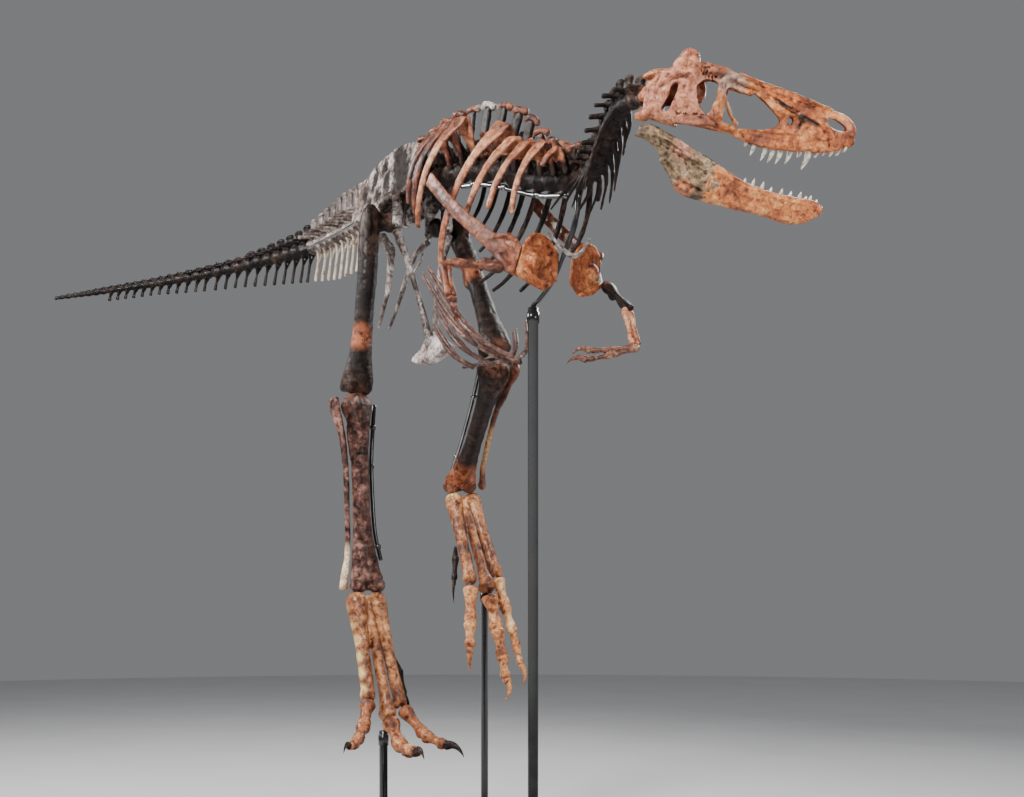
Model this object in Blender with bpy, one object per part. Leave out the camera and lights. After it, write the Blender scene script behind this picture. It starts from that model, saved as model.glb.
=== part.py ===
"""Mounted skeleton of a young tyrannosaur, walking, on a black steel stand.

Metres, +Z up. The origin is the middle of the underside of the base plate.
+X is the way the hips face, +Y is the animal's left.
"""

import math

import bmesh
import bpy
import numpy as np
from mathutils import Matrix, Vector

GAP = 0.0003            # clearance left between two pieces that touch
UP = Vector((0.0, 0.0, 1.0))
SIDES = {"right": -1.0, "left": 1.0}

# Stand
BASE = (1.90, 1.10, 0.025)      # length, width and thickness of the base plate
BASE_CHAMFER = 0.006
CHEST_POST = (0.550, 0.100, 2.180, 0.0200)      # x, y, top and radius
LEFT_FOOT_POST = (-0.290, 0.318, 1.114, 0.0160)
RIGHT_FOOT_POST = (-0.085, -0.250, 0.530, 0.0175)
TUBE_RADIUS = 0.0090

# Hips: the middle of the line between the two hip joints
HIPS = Vector((-0.300, -0.020, 2.690))
HIP_SPACING = 0.260

# Backbone: (place counted in vertebrae, turn to the left, climb), degrees
SACRUM_REAR = Vector((-0.690, -0.030, 2.822))
SACRAL, DORSAL, CERVICAL, CAUDAL = 5, 13, 10, 41
SACRAL_LENGTH, DORSAL_LENGTH, CERVICAL_LENGTH = 0.094, 0.0845, 0.0605
FRONT_BEND = ((0, 0, 0), (5, 6, 0), (9, 10, -7), (13, 12.5, -24), (16, 9, -14),
              (18, 2, -3), (20, -12, 8), (22, -17, 32), (24, -17, 16),
              (26, -8, -4), (28, 14, -14))
TAIL_BEND = ((0, 0, 0), (6, 1.5, -1.5), (13.5, 11, -3), (22, 18.5, -2.5),
             (30, 28, -1.5), (41, 35.5, 0.5))
CAUDAL_LENGTH = ((0, 0.064), (8, 0.071), (12, 0.088), (16, 0.102), (22, 0.098),
                 (26, 0.080), (40, 0.052))
SPINE_HEIGHT = ((0, 0.185), (5, 0.195), (8, 0.245), (11, 0.265), (13, 0.245),
                (15.5, 0.155), (18, 0.120), (22, 0.115), (27, 0.085), (28, 0.06))
CENTRUM_RADIUS = ((0, 0.043), (5, 0.044), (12, 0.040), (18, 0.038), (24, 0.033),
                  (28, 0.026))
TAIL_SPINE_HEIGHT = ((0, 0.190), (6, 0.195), (8.5, 0.165), (12.5, 0.105),
                     (17, 0.070), (24, 0.044), (34, 0.026), (41, 0.012))
TAIL_RADIUS = ((0, 0.044), (8.5, 0.040), (16, 0.033), (24, 0.025), (34, 0.016),
               (41, 0.008))
TAIL_PROCESS = ((0.5, 0.072), (2, 0.115), (7, 0.110), (14, 0.065), (18.5, 0.034),
                (25, 0.026))
CHEVRON_LENGTH = ((1.5, 0.165), (6, 0.165), (11.5, 0.125), (18.5, 0.078), (27, 0.040))

# Rib cage: per rib counted from the neck, half-width, drop, backward sweep and
# lift of the head; then the part of its length that is there, none for a lost rib
RIB_FORM = ((0.110, 0.150, 0.030, -0.020), (0.150, 0.230, 0.060, 0.000),
            (0.185, 0.290, 0.090, 0.000), (0.200, 0.320, 0.120, 0.010),
            (0.205, 0.330, 0.150, 0.050), (0.205, 0.320, 0.160, 0.050),
            (0.200, 0.300, 0.160, 0.050), (0.190, 0.260, 0.150, 0.055),
            (0.175, 0.215, 0.130, 0.045), (0.160, 0.190, 0.110, 0.030))
RIGHT_KEPT = (0.30, 0.62, 0.50, 0.56, 1.00, 0.00, 0.00, 0.80, 0.80, 0.75)
LEFT_KEPT = (0.60, 0.85, 0.90, 0.95, 1.00, 1.00, 0.95, 0.90, 0.85, 0.75)

# Skull and jaws
SKULL_JOINT = Vector((1.395, 0.040, 2.640))     # between the two jaw joints
SKULL_TURN, SKULL_DROP, SKULL_ROLL = 56.0, 10.0, 18.0
JAW_OPENING = 15.0

# Shoulders and arms
GIRDLE = Vector((0.700, 0.115, 2.300))
GIRDLE_TURN = 10.0

# Legs: bone lengths, where each bone points (turn to the left, drop), and how far
# below the middle of the knee and the ankle the next bone starts
FEMUR, TIBIA = 0.770, 0.850
FEMUR_OFFSET = 0.070    # from the hip joint out to the line of the shaft
LOW_OUT = {2: -0.068, 3: 0.000, 4: 0.068}     # how far out each toe starts
REACH = {2: 0.490, 3: 0.540, 4: 0.450}        # and how far down the foot
LEG_POSE = {
    "right": {"femur": (-101.0, 80.5), "tibia": (4.5, 84.3), "foot": (8.0, 70.0),
              "knee": 0.010, "ankle": 0.012},
    "left": {"femur": (5.6, 53.6), "tibia": (167.4, 36.5), "foot": (0.3, 59.4),
             "knee": 0.072, "ankle": 0.048},
}


# ---------------------------------------------------------------- shape tools

def direction(turn, drop):
    """Unit vector turned to the left of +X and dropped below level, degrees."""
    turn, drop = math.radians(turn), math.radians(drop)
    level = math.cos(drop)
    return Vector((level * math.cos(turn), level * math.sin(turn), -math.sin(drop)))


def at(knots, place, item=1):
    """Straight-line value of a knot table."""
    return float(np.interp(place, [k[0] for k in knots], [k[item] for k in knots]))


def axes(forward, up=UP):
    """Forward, left and up as a right-handed set."""
    forward = forward.normalized()
    left = up.cross(forward).normalized()
    return forward, left, forward.cross(left)


def solid(rings):
    """Closed skin through rings that all have the same number of points."""
    mesh = bmesh.new()
    rows = [[mesh.verts.new(point) for point in ring] for ring in rings]
    count = len(rows[0])
    for low, high in zip(rows, rows[1:]):
        for i in range(count):
            j = (i + 1) % count
            mesh.faces.new((low[i], low[j], high[j], high[i]))
    mesh.faces.new(rows[0])
    mesh.faces.new(rows[-1])
    bmesh.ops.triangulate(mesh, faces=mesh.faces)
    bmesh.ops.recalc_face_normals(mesh, faces=mesh.faces)
    data = bpy.data.meshes.new("solid")
    mesh.to_mesh(data)
    mesh.free()
    return data


def oval(centre, a, b, sides, phase=0.5):
    """Ring of points round a centre; a and b are half-axis vectors."""
    angles = [2 * math.pi * (i + phase) / sides for i in range(sides)]
    return [centre + a * math.cos(t) + b * math.sin(t) for t in angles]


def rod(points, radii, sides=6, wide=None, phase=0.5):
    """Bone shaft through points. Each radius is a number, or a pair whose first
    half lies along the direction `wide`."""
    points = [Vector(p) for p in points]
    rings = []
    for i, (point, radius) in enumerate(zip(points, radii)):
        along = points[min(i + 1, len(points) - 1)] - points[max(i - 1, 0)]
        along.normalize()
        hint = Vector(wide) if wide is not None else UP
        if abs(along.dot(hint.normalized())) > 0.97:
            hint = Vector((1.0, 0.2, 0.1))
        across = (hint - along * along.dot(hint)).normalized()
        other = along.cross(across)
        a, b = radius if isinstance(radius, tuple) else (radius, radius)
        rings.append(oval(point, across * a, other * b, sides, phase))
    return solid(rings)


def plate(outline, thickness, place):
    """Flat plate: outline points (x, z), half-thickness along y, and a function
    that carries a local point to the model."""
    near = [place(Vector((x, -thickness, z))) for x, z in outline]
    far = [place(Vector((x, thickness, z))) for x, z in outline]
    return solid([near, far])


# ------------------------------------------------------------------ the scene

def clear_scene():
    for item in list(bpy.data.objects):
        bpy.data.objects.remove(item, do_unlink=True)


def boolean(body, tool, operation):
    """Joins or cuts a mesh and gives back the new one."""
    target = bpy.data.objects.new("target", body)
    other = bpy.data.objects.new("other", tool)
    bpy.context.scene.collection.objects.link(target)
    bpy.context.scene.collection.objects.link(other)
    step = target.modifiers.new("join", "BOOLEAN")
    step.operation = operation
    step.solver = "EXACT"
    step.object = other
    bpy.context.view_layer.update()
    graph = bpy.context.evaluated_depsgraph_get()
    made = bpy.data.meshes.new_from_object(target.evaluated_get(graph))
    bpy.data.objects.remove(target, do_unlink=True)
    bpy.data.objects.remove(other, do_unlink=True)
    return made


def joined(pieces):
    """One mesh from overlapping pieces."""
    body = pieces[0]
    for piece in pieces[1:]:
        body = boolean(body, piece, "UNION")
    return body


MATERIALS = {
    "tan": ((0.42, 0.20, 0.09), 0.45, 0.0),
    "orange": ((0.55, 0.22, 0.07), 0.45, 0.0),
    "dark": ((0.045, 0.028, 0.022), 0.35, 0.0),
    "pale": ((0.52, 0.46, 0.41), 0.50, 0.0),
    "cream": ((0.62, 0.50, 0.36), 0.50, 0.0),
    "steel": ((0.012, 0.012, 0.013), 0.35, 0.6),
}


def place_node(name, body, colour):
    """Puts one finished mesh in the model under its own name and material."""
    mesh = bmesh.new()
    mesh.from_mesh(body)
    bmesh.ops.remove_doubles(mesh, verts=mesh.verts, dist=0.00005)
    bmesh.ops.triangulate(mesh, faces=mesh.faces)
    bmesh.ops.recalc_face_normals(mesh, faces=mesh.faces)
    mesh.to_mesh(body)
    mesh.free()
    rgb, roughness, metallic = MATERIALS[colour]
    material = bpy.data.materials.new(name)
    material.use_nodes = True
    shader = material.node_tree.nodes["Principled BSDF"]
    shader.inputs["Base Color"].default_value = (*rgb, 1.0)
    shader.inputs["Roughness"].default_value = roughness
    shader.inputs["Metallic"].default_value = metallic
    body.materials.clear()
    body.materials.append(material)
    body.name = name
    node = bpy.data.objects.new(name, body)
    SKELETON.objects.link(node)
    return node


# ------------------------------------------------------------------- backbone

def front_joints():
    """Places and directions of the joints from the sacrum to the skull."""
    point, joints = SACRUM_REAR.copy(), []
    lengths = ([SACRAL_LENGTH] * SACRAL + [DORSAL_LENGTH] * DORSAL
               + [CERVICAL_LENGTH] * CERVICAL)
    joints.append((point.copy(), direction(0, 0)))
    for i, length in enumerate(lengths):
        turn, climb = at(FRONT_BEND, i + 0.5), at(FRONT_BEND, i + 0.5, 2)
        if i < SACRAL:
            turn, climb = 0.0, 0.0
        point = point + direction(turn, -climb) * length
        ahead = direction(at(FRONT_BEND, i + 1), -at(FRONT_BEND, i + 1, 2))
        joints.append((point.copy(), ahead))
    return joints


def tail_joints():
    """Places and directions of the joints from the sacrum to the tail tip."""
    point = SACRUM_REAR.copy()
    joints = [(point.copy(), direction(0, 0))]
    for i in range(CAUDAL):
        turn, climb = at(TAIL_BEND, i + 0.5), at(TAIL_BEND, i + 0.5, 2)
        point = point - direction(turn, -climb) * at(CAUDAL_LENGTH, i)
        joints.append((point.copy(), direction(at(TAIL_BEND, i + 1),
                                               -at(TAIL_BEND, i + 1, 2))))
    return joints


FRONT = front_joints()
TAIL = tail_joints()


def station(joints, place):
    """Point, forward, left and up at a place counted in vertebrae."""
    low = min(int(place), len(joints) - 2)
    part = place - low
    point = joints[low][0].lerp(joints[low + 1][0], part)
    forward = joints[low][1].lerp(joints[low + 1][1], part)
    return (point, *axes(forward))


def section(frame, radius, spine, process=None, slant=0.0):
    """Ring round one vertebra: centrum, side processes and spine top. spine and
    process are (half-width, height)."""
    point, forward, left, up = frame
    half = [(radius, 0.1 * radius, 0.0)]
    if process:
        half.append((process[0], process[1], -0.3 * slant))
    half.append((spine[0], spine[1], -slant))
    ring = [point - up * radius]
    ring += [point + left * x + up * z + forward * y for x, z, y in half]
    ring += [point - left * x + up * z + forward * y for x, z, y in reversed(half)]
    return ring


def column(joints, first, last, radius, height, process=None, slant=0.02, first_gap=0,
           last_gap=0):
    """Row of vertebrae as one solid, with a waist and a spine in each."""
    rings = []
    for i in range(first, last):
        for part in (0.0, 0.2, 0.8):
            place = i + part
            if i == first and part == 0.0:
                place += first_gap
            r = at(radius, place)
            tip, lean = None, 0.0
            if part == 0.0:
                spine = (r * 0.45, r * 1.25)
                tip = (r * 0.75, r * 0.90) if process else None
            else:
                spine = (0.009, max(at(height, i + 0.5), r * 1.3 + 0.02))
                if process:
                    reach, rise = process(i + 0.5)
                    tip = (max(reach, r * 0.9), r * 0.95 + rise)
                lean = slant
                r = r * 0.88
            rings.append(section(station(joints, place), r, spine, tip, lean))
    r = at(radius, last)
    tip = (r * 0.75, r * 0.90) if process else None
    rings.append(section(station(joints, last - last_gap), r, (r * 0.45, r * 1.25), tip))
    return solid(rings)


def neck_process(place):
    """Side processes of a neck vertebra: reach and rise."""
    return (0.052 + 0.018 * math.sin(math.pi * (place - 18) / 10), 0.004)


def build_neck():
    pieces = [column(FRONT, 18, 27, CENTRUM_RADIUS, SPINE_HEIGHT, neck_process, 0.012,
                     first_gap=0.05, last_gap=-0.30)]
    for i in range(18, 26):
        point, forward, left, up = station(FRONT, i + 0.55)
        r = at(CENTRUM_RADIUS, i)
        reach = 0.16 if i < 24 else 0.10
        for sign in SIDES.values():
            root = point + left * sign * r * 0.70 - up * r * 0.30
            tip = root - forward * reach + left * sign * 0.030 - up * 0.080
            pieces.append(rod((root, tip), (0.010, 0.004), 3))
    place_node("neck", joined(pieces), "dark")


def build_back():
    body = column(FRONT, 5, 18, CENTRUM_RADIUS, SPINE_HEIGHT, None, 0.018, 0.02, 0.05)
    place_node("back", body, "dark")


def build_sacrum():
    rings = []
    for place in (0.03, 1.2, 2.4, 3.6, 4.97):
        frame = station(FRONT, place)
        r = at(CENTRUM_RADIUS, place)
        rings.append(section(frame, r, (0.012, at(SPINE_HEIGHT, place)),
                             (0.050, r * 1.1), 0.01))
    place_node("sacrum", solid(rings), "dark")


def tail_process(place):
    return (at(TAIL_PROCESS, place), -0.012)


def chevron(place):
    """Bone that hangs below a tail joint."""
    point, forward, left, up = station(TAIL, place)
    r = at(TAIL_RADIUS, place)
    length = at(CHEVRON_LENGTH, place)
    top = point - up * (r * 0.55)
    low = point - up * (r + length) - forward * length * 0.30
    return rod((top, low), ((0.011, 0.015), (0.010, 0.006)), 3, wide=forward)


def build_tail():
    spans = (("tail_base", 0, 11, "pale"), ("tail_middle", 11, 22, "dark"),
             ("tail_tip", 22, 41, "dark"))
    for name, first, last, colour in spans:
        process = tail_process if first == 0 else None
        if first < 22:
            body = column(TAIL, first, last, TAIL_RADIUS, TAIL_SPINE_HEIGHT, process,
                          0.024 if first == 0 else 0.020, 0.04, 0.02)
        else:
            body = tail_end(first, last)
        pieces = [body]
        for i in range(max(first, 1), min(last, 22)):
            pieces.append(chevron(i + (0.12 if i == first else 0.0)))
        place_node(name, joined(pieces), colour)


def tail_end(first, last):
    """The thin end of the tail, two rings to each vertebra."""
    rings = []
    for i in range(first, last):
        for part in (0.0, 0.5):
            place = i + part + (0.02 if i == first and part == 0.0 else 0.0)
            point, forward, left, up = station(TAIL, place)
            r = at(TAIL_RADIUS, place) * (1.0 if part == 0.0 else 0.75)
            top = r + (0.003 if part == 0.0 else at(TAIL_SPINE_HEIGHT, place) * 0.45)
            rings.append([point - up * r, point + left * r, point + up * top,
                          point - left * r])
    point, forward, left, up = station(TAIL, last)
    rings.append([point - up * 0.006, point + left * 0.006, point + up * 0.006,
                  point - left * 0.006])
    return solid(rings)


# ------------------------------------------------------------------- rib cage

def rib(index, sign, kept):
    """Rib of one dorsal vertebra, counted from the neck, with its process."""
    place = 18 - index - 0.5
    half, drop, sweep, lift = RIB_FORM[index]
    point, forward, left, up = station(FRONT, place)
    out = left * sign
    path = [point + out * 0.040 + up * 0.072]
    radii = [(0.020, 0.011)]
    wide = 0.023 if sign < 0 else 0.019
    steps = 5 if kept > 0.6 else 3
    for i in range(steps):
        part = kept * i / (steps - 1)
        angle = math.radians(28 + 122 * part)
        path.append(point + out * (0.025 + half * math.sin(angle))
                    + up * (0.118 + lift * (1 - part) - drop * 0.88
                            + drop * math.cos(angle))
                    - forward * (0.012 + sweep * part))
        radii.append((wide - 0.009 * i / (steps - 1), 0.010 - 0.003 * i / (steps - 1)))
    return rod(path, radii, 4, wide=forward)


def build_rib_cages():
    for name, sign in SIDES.items():
        kept = RIGHT_KEPT if sign < 0 else LEFT_KEPT
        rings = []
        for i in range(13):
            point, forward, left, up = station(FRONT, 5.5 + i)
            middle = point + left * sign * 0.047 + up * 0.074
            rings.append(oval(middle, left * 0.013, up * 0.012, 4, 0.0))
        pieces = [solid(rings)]
        for index, part in enumerate(kept):
            if part:
                pieces.append(rib(index, sign, part))
        place_node("rib_cage_" + name, joined(pieces), "orange" if sign < 0 else "dark")


def build_gastralia():
    """Belly bones: slanting pairs that meet on a line from the chest to the hips.
    Each row is (place along that line, right length, left length)."""
    front, rear = Vector((0.500, 0.070, 1.990)), Vector((0.120, 0.015, 2.010))
    pieces = [rod((front, rear), (0.0085, 0.0085), 4)]
    for place, right, left in ((0.05, 1.25, 0.62), (0.22, 1.20, 0.45), (0.52, 0.80, 0.0),
                               (0.85, 0.55, 0.0)):
        middle = front.lerp(rear, place)
        for sign, reach in ((-1.0, right), (1.0, left)):
            if not reach:
                continue
            run = Vector((-0.240, sign * 0.190, 0.300)) * reach
            bow = Vector((0.020, sign * 0.030, -0.050)) * reach
            pieces.append(rod((middle - run * 0.04, middle + run * 0.5 + bow, middle + run),
                              (0.0115, 0.0100, 0.0065), 4, phase=0.37))
    place_node("gastralia", joined(pieces), "dark")


# ------------------------------------------------------------- skull and jaws

def skull_place(point):
    """Skull frame (forward, left, up) to the model."""
    forward = direction(SKULL_TURN, SKULL_DROP)
    tilt = Matrix.Rotation(math.radians(SKULL_ROLL), 3, forward)
    _, left, up = axes(forward, tilt @ UP)
    return SKULL_JOINT + forward * point.x + left * point.y + up * point.z


def jaw_place(point):
    """Jaw frame, opened about the jaw joint, to the model."""
    tilt = Matrix.Rotation(math.radians(JAW_OPENING), 3, "Y")
    return skull_place(tilt @ point + Vector((0.010, 0.0, -0.036)))


# Along the skull: distance, roof, lower edge, half-width
SKULL_FORM = ((0.000, 0.105, 0.000, 0.062), (0.040, 0.136, -0.008, 0.090),
              (0.110, 0.174, -0.016, 0.106), (0.180, 0.182, -0.016, 0.098),
              (0.255, 0.169, -0.028, 0.076), (0.320, 0.152, -0.028, 0.063),
              (0.385, 0.136, -0.048, 0.056), (0.550, 0.102, -0.040, 0.047),
              (0.630, 0.086, -0.024, 0.038), (0.670, 0.066, -0.010, 0.024),
              (0.684, 0.045, 0.000, 0.012))
# Openings seen from the side, each a loop of (distance, height)
ORBIT = ((0.163, 0.108), (0.170, 0.068), (0.195, 0.036), (0.213, 0.034),
         (0.227, 0.085), (0.225, 0.126), (0.185, 0.128))
TEMPORAL = ((0.062, 0.024), (0.086, 0.026), (0.104, 0.104), (0.084, 0.100),
            (0.076, 0.064))
ANTORBITAL = ((0.258, 0.010), (0.262, 0.118), (0.296, 0.120), (0.350, 0.108),
              (0.432, 0.050), (0.434, 0.028), (0.400, 0.010), (0.300, -0.002))
NARIS = ((0.572, 0.062), (0.604, 0.068), (0.640, 0.052), (0.650, 0.036),
         (0.610, 0.038))


def head_ring(distance, roof, low, half):
    points = ((0.0, roof), (0.62 * half, roof - 0.006), (half, 0.55 * roof + 0.3 * low),
              (0.90 * half, low), (0.0, low + 0.004))
    ring = [(y, z) for y, z in points] + [(-y, z) for y, z in reversed(points[1:-1])]
    return [skull_place(Vector((distance, y, z))) for y, z in ring]


def cavity_ring(distance, roof, low, half):
    points = ((0.0, roof), (0.9 * half, roof - 0.01), (half, low))
    ring = [(y, z) for y, z in points] + [(-y, z) for y, z in reversed(points[1:])]
    return [skull_place(Vector((distance, y, z))) for y, z in ring]


def tooth(place, distance, side, height, length, size, lean):
    """Three-sided tooth that points down for a positive length."""
    root = Vector((distance, side, height + math.copysign(0.010, length)))
    tip = Vector((distance - lean, side, height - length))
    down = (tip - root).normalized()
    along = (Vector((1, 0, 0)) - down * down.x).normalized()
    across = down.cross(along)
    rings = [oval(p, along * s, across * s * 0.6, 3, 0.0)
             for p, s in ((root, size), (tip, size * 0.25))]
    return solid([[place(p) for p in ring] for ring in rings])


# Upper teeth: distance along the skull and length
UPPER_TEETH = ((0.346, 0.016), (0.372, 0.032), (0.410, 0.040), (0.434, 0.046),
               (0.460, 0.046), (0.490, 0.044), (0.548, 0.056), (0.595, 0.016),
               (0.640, 0.020))
LOWER_TEETH = ((0.400, 0.022), (0.432, 0.024), (0.462, 0.016), (0.496, 0.020),
               (0.526, 0.018), (0.556, 0.022), (0.590, 0.016))


def build_skull():
    body = solid([head_ring(*row) for row in SKULL_FORM])
    hollow = [cavity_ring(d, roof - 0.026, low - 0.03, half - 0.020)
              for d, roof, low, half in SKULL_FORM[2:8]]
    body = boolean(body, solid(hollow), "DIFFERENCE")
    for outline in (ORBIT, TEMPORAL, ANTORBITAL, NARIS):
        body = boolean(body, plate(outline, 0.16, skull_place), "DIFFERENCE")
    pieces = [body]
    for sign in (-1, 1):
        pieces.append(rod([skull_place(Vector(p)) for p in
                           ((0.100, sign * 0.070, 0.160), (0.112, sign * 0.074, 0.190),
                            (0.128, sign * 0.076, 0.215), (0.150, sign * 0.074, 0.196))],
                          (0.026, 0.024, 0.016, 0.010), 5))
        pieces.append(rod([skull_place(Vector(p)) for p in
                           ((0.030, sign * 0.072, 0.020), (-0.008, sign * 0.076, -0.004))],
                          (0.026, 0.014), 5))
    pieces.append(rod([skull_place(Vector(p)) for p in
                       ((0.060, 0.0, 0.135), (-0.012, 0.0, 0.116))],
                      ((0.012, 0.060), (0.007, 0.040)), 6, wide=UP))
    for distance, length in UPPER_TEETH:
        half = at(SKULL_FORM, distance, 3) * 0.77
        low = at(SKULL_FORM, distance, 2)
        for sign in (-1, 1):
            pieces.append(tooth(skull_place, distance, sign * half, low, length,
                                0.0080, length * 0.25))
    place_node("skull", joined(pieces), "orange")


# Along a jaw: distance, upper edge, lower edge, offset from the middle, half-width
JAW_FORM = ((-0.012, -0.012, -0.034, 0.076, 0.008), (0.020, 0.016, -0.030, 0.077, 0.013),
            (0.070, 0.014, -0.042, 0.077, 0.013), (0.115, 0.010, -0.078, 0.075, 0.011),
            (0.185, 0.000, -0.132, 0.070, 0.011), (0.265, -0.014, -0.130, 0.060, 0.013),
            (0.360, -0.027, -0.117, 0.047, 0.013), (0.450, -0.026, -0.101, 0.036, 0.013),
            (0.540, -0.010, -0.092, 0.024, 0.013), (0.600, 0.004, -0.068, 0.0155, 0.0135),
            (0.640, -0.004, -0.024, 0.0115, 0.0100))


def build_jaws():
    for name, sign in SIDES.items():
        rings = []
        for distance, high, low, offset, half in JAW_FORM:
            middle = 0.5 * (high + low)
            ring = ((offset - 0.5 * half, high), (offset + 0.5 * half, high),
                    (offset + half, middle), (offset + 0.6 * half, low),
                    (offset - 0.6 * half, low), (offset - half, middle))
            rings.append([jaw_place(Vector((distance, sign * y, z))) for y, z in ring])
        pieces = [solid(rings)]
        for distance, length in LOWER_TEETH:
            offset, high = at(JAW_FORM, distance, 3), at(JAW_FORM, distance, 1)
            pieces.append(tooth(jaw_place, distance, sign * offset, high, -length,
                                0.0068, length * 0.1))
        place_node("jaw_" + name, joined(pieces), "orange")


# --------------------------------------------------------- shoulders and arms

def girdle(point):
    """Shoulder frame (forward, left, up from between the shoulders) to the model."""
    forward, left, up = axes(direction(GIRDLE_TURN, 0))
    return GIRDLE + forward * point[0] + left * point[1] + up * point[2]


def flat_strip(rows, sign):
    """Thin bone from rows of (front edge, rear edge, half-thickness) points."""
    rings = []
    for one, two, thick in rows:
        one = Vector((one[0], one[1] * sign, one[2]))
        two = Vector((two[0], two[1] * sign, two[2]))
        rings.append((one, two, thick))
    shapes = []
    for i, (one, two, thick) in enumerate(rings):
        after = rings[min(i + 1, len(rings) - 1)]
        before = rings[max(i - 1, 0)]
        along = (after[0] + after[1] - before[0] - before[1]).normalized()
        face = along.cross((two - one).normalized()).normalized() * thick
        middle = one.lerp(two, 0.5)
        shapes.append([girdle(p) for p in
                       (one, middle.lerp(one, 0.45) + face, middle.lerp(two, 0.45) + face,
                        two, middle.lerp(two, 0.45) - face, middle.lerp(one, 0.45) - face)])
    return solid(shapes)


SHOULDER_ROWS = (((-0.436, 0.262, 0.415), (-0.474, 0.262, 0.372), 0.006),
                 ((-0.296, 0.262, 0.284), (-0.330, 0.262, 0.240), 0.007),
                 ((-0.150, 0.254, 0.170), (-0.184, 0.258, 0.124), 0.009),
                 ((-0.048, 0.238, 0.100), (-0.084, 0.242, 0.036), 0.011),
                 ((0.010, 0.208, 0.078), (-0.040, 0.218, -0.030), 0.014),
                 ((0.032, 0.184, 0.050), (-0.010, 0.192, -0.055), 0.013),
                 ((0.042, 0.145, 0.098), (0.020, 0.145, -0.080), 0.012),
                 ((0.050, 0.085, 0.092), (0.030, 0.085, -0.100), 0.009),
                 ((0.056, 0.034, 0.040), (0.040, 0.030, -0.060), 0.007))


def build_shoulders():
    for name, sign in SIDES.items():
        place_node("shoulder_" + name, flat_strip(SHOULDER_ROWS, sign), "orange")
    path = [girdle(p) for p in ((0.080, -0.105, 0.100), (0.094, -0.060, 0.052),
                                (0.102, -0.008, 0.024), (0.094, 0.050, 0.056),
                                (0.080, 0.096, 0.108))]
    place_node("furcula", rod(path, (0.004, 0.007, 0.008, 0.007, 0.004), 5), "pale")


ARM_POSE = {
    "right": (((-0.030, 0.236, -0.028), (-0.130, 0.390, -0.012)),
              ((-0.135, 0.408, -0.030), (-0.085, 0.420, -0.140)),
              (-0.055, 0.400, -0.230), (-0.095, 0.385, -0.235)),
    "left": (((0.030, 0.226, -0.040), (0.200, 0.180, -0.160)),
             ((0.208, 0.172, -0.178), (0.270, 0.150, -0.305)),
             (0.190, -0.085, -0.345), (0.180, -0.110, -0.385)),
}


def build_arms():
    for name, sign in SIDES.items():
        upper, lower, first, second = ARM_POSE[name]
        spot = [girdle((p[0], p[1] * sign, p[2])) for p in (*upper, *lower)]
        colour = "tan" if sign < 0 else "dark"
        place_node("humerus_" + name,
                   rod([spot[0].lerp(spot[1], t) for t in (0.0, 0.18, 0.5, 0.85, 1.0)],
                       ((0.020, 0.028), (0.024, 0.030), (0.013, 0.015), (0.020, 0.024),
                        (0.014, 0.018)), 6), colour)
        across = (spot[3] - spot[2]).cross(UP).normalized() * 0.011
        bones = [rod([spot[2].lerp(spot[3], t) + across * s for t in (0.0, 0.5, 1.0)],
                     (r, r * 0.62, r), 5)
                 for s, r in ((1, 0.016), (-1, 0.013))]
        place_node("forearm_" + name, joined(bones), colour)
        wrist = spot[3] + (spot[3] - spot[2]).normalized() * 0.016
        fingers = []
        for i, end in enumerate((first, second)):
            tip = girdle((end[0], end[1] * sign, end[2]))
            start = wrist + across * (0.6 if i == 0 else -0.6)
            sag = Vector((0, 0, -0.004 - 0.006 * i))
            stops = (0.0, 0.40, 0.70, 1.0)
            fingers.append(rod([start.lerp(tip, t) + sag * math.sin(math.pi * t)
                                for t in stops],
                               (0.014, 0.009, 0.010, 0.002), 5))
        place_node("hand_" + name, joined(fingers), colour)


# --------------------------------------------------------------------- pelvis

ILIUM = ((0.180, 0.085), (0.245, 0.120), (0.275, 0.205), (0.245, 0.262), (0.110, 0.298),
         (-0.060, 0.302), (-0.260, 0.276), (-0.410, 0.215), (-0.455, 0.150),
         (-0.430, 0.088), (-0.180, 0.070), (-0.060, 0.078), (0.060, 0.078))


def build_pelvis():
    for name, sign in SIDES.items():
        def place(point):
            lean = 0.118 - 0.12 * max(point.z, 0.0)
            return HIPS + Vector((point.x, sign * (lean + point.y), point.z))
        blade = plate(ILIUM, 0.013, place)
        rim = rod([place(Vector(p)) for p in ((0.094, 0, -0.038), (0.080, 0, 0.066),
                                              (0.0, 0, 0.100), (-0.074, 0, 0.066),
                                              (-0.090, 0, -0.014))],
                  ((0.026, 0.026), (0.024, 0.022), (0.024, 0.022), (0.023, 0.022),
                   (0.024, 0.022)), 4, wide=(0, 1, 0))
        place_node("ilium_" + name, joined([blade, rim]), "pale")
        shaft = [HIPS + Vector(p) for p in
                 ((-0.095, sign * 0.112, -0.045), (-0.118, sign * 0.056, -0.110),
                  (-0.195, sign * 0.036, -0.240), (-0.330, sign * 0.026, -0.395))]
        place_node("ischium_" + name,
                   rod(shaft, ((0.028, 0.013), (0.030, 0.011), (0.020, 0.010),
                               (0.008, 0.006)), 6, wide=(1, 0, 0.4)), "pale")
    pieces = []
    for sign in SIDES.values():
        shaft = [HIPS + Vector(p) for p in
                 ((0.094, sign * 0.118, -0.070), (0.110, sign * 0.090, -0.160),
                  (0.140, sign * 0.045, -0.330), (0.180, sign * 0.022, -0.480),
                  (0.210, sign * 0.018, -0.560))]
        pieces.append(rod(shaft, ((0.026, 0.018), (0.018, 0.014), (0.015, 0.012),
                                  (0.018, 0.016), (0.024, 0.022)), 6, wide=(1, 0, 0)))
    boot = ((0.170, -0.520), (0.250, -0.530), (0.350, -0.575), (0.360, -0.600),
            (0.260, -0.628), (0.140, -0.632), (0.040, -0.612), (0.030, -0.590),
            (0.120, -0.560))
    pieces.append(plate(boot, 0.032, lambda p: HIPS + p))
    place_node("pubis", joined(pieces), "pale")


# ----------------------------------------------------------------------- legs

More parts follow.
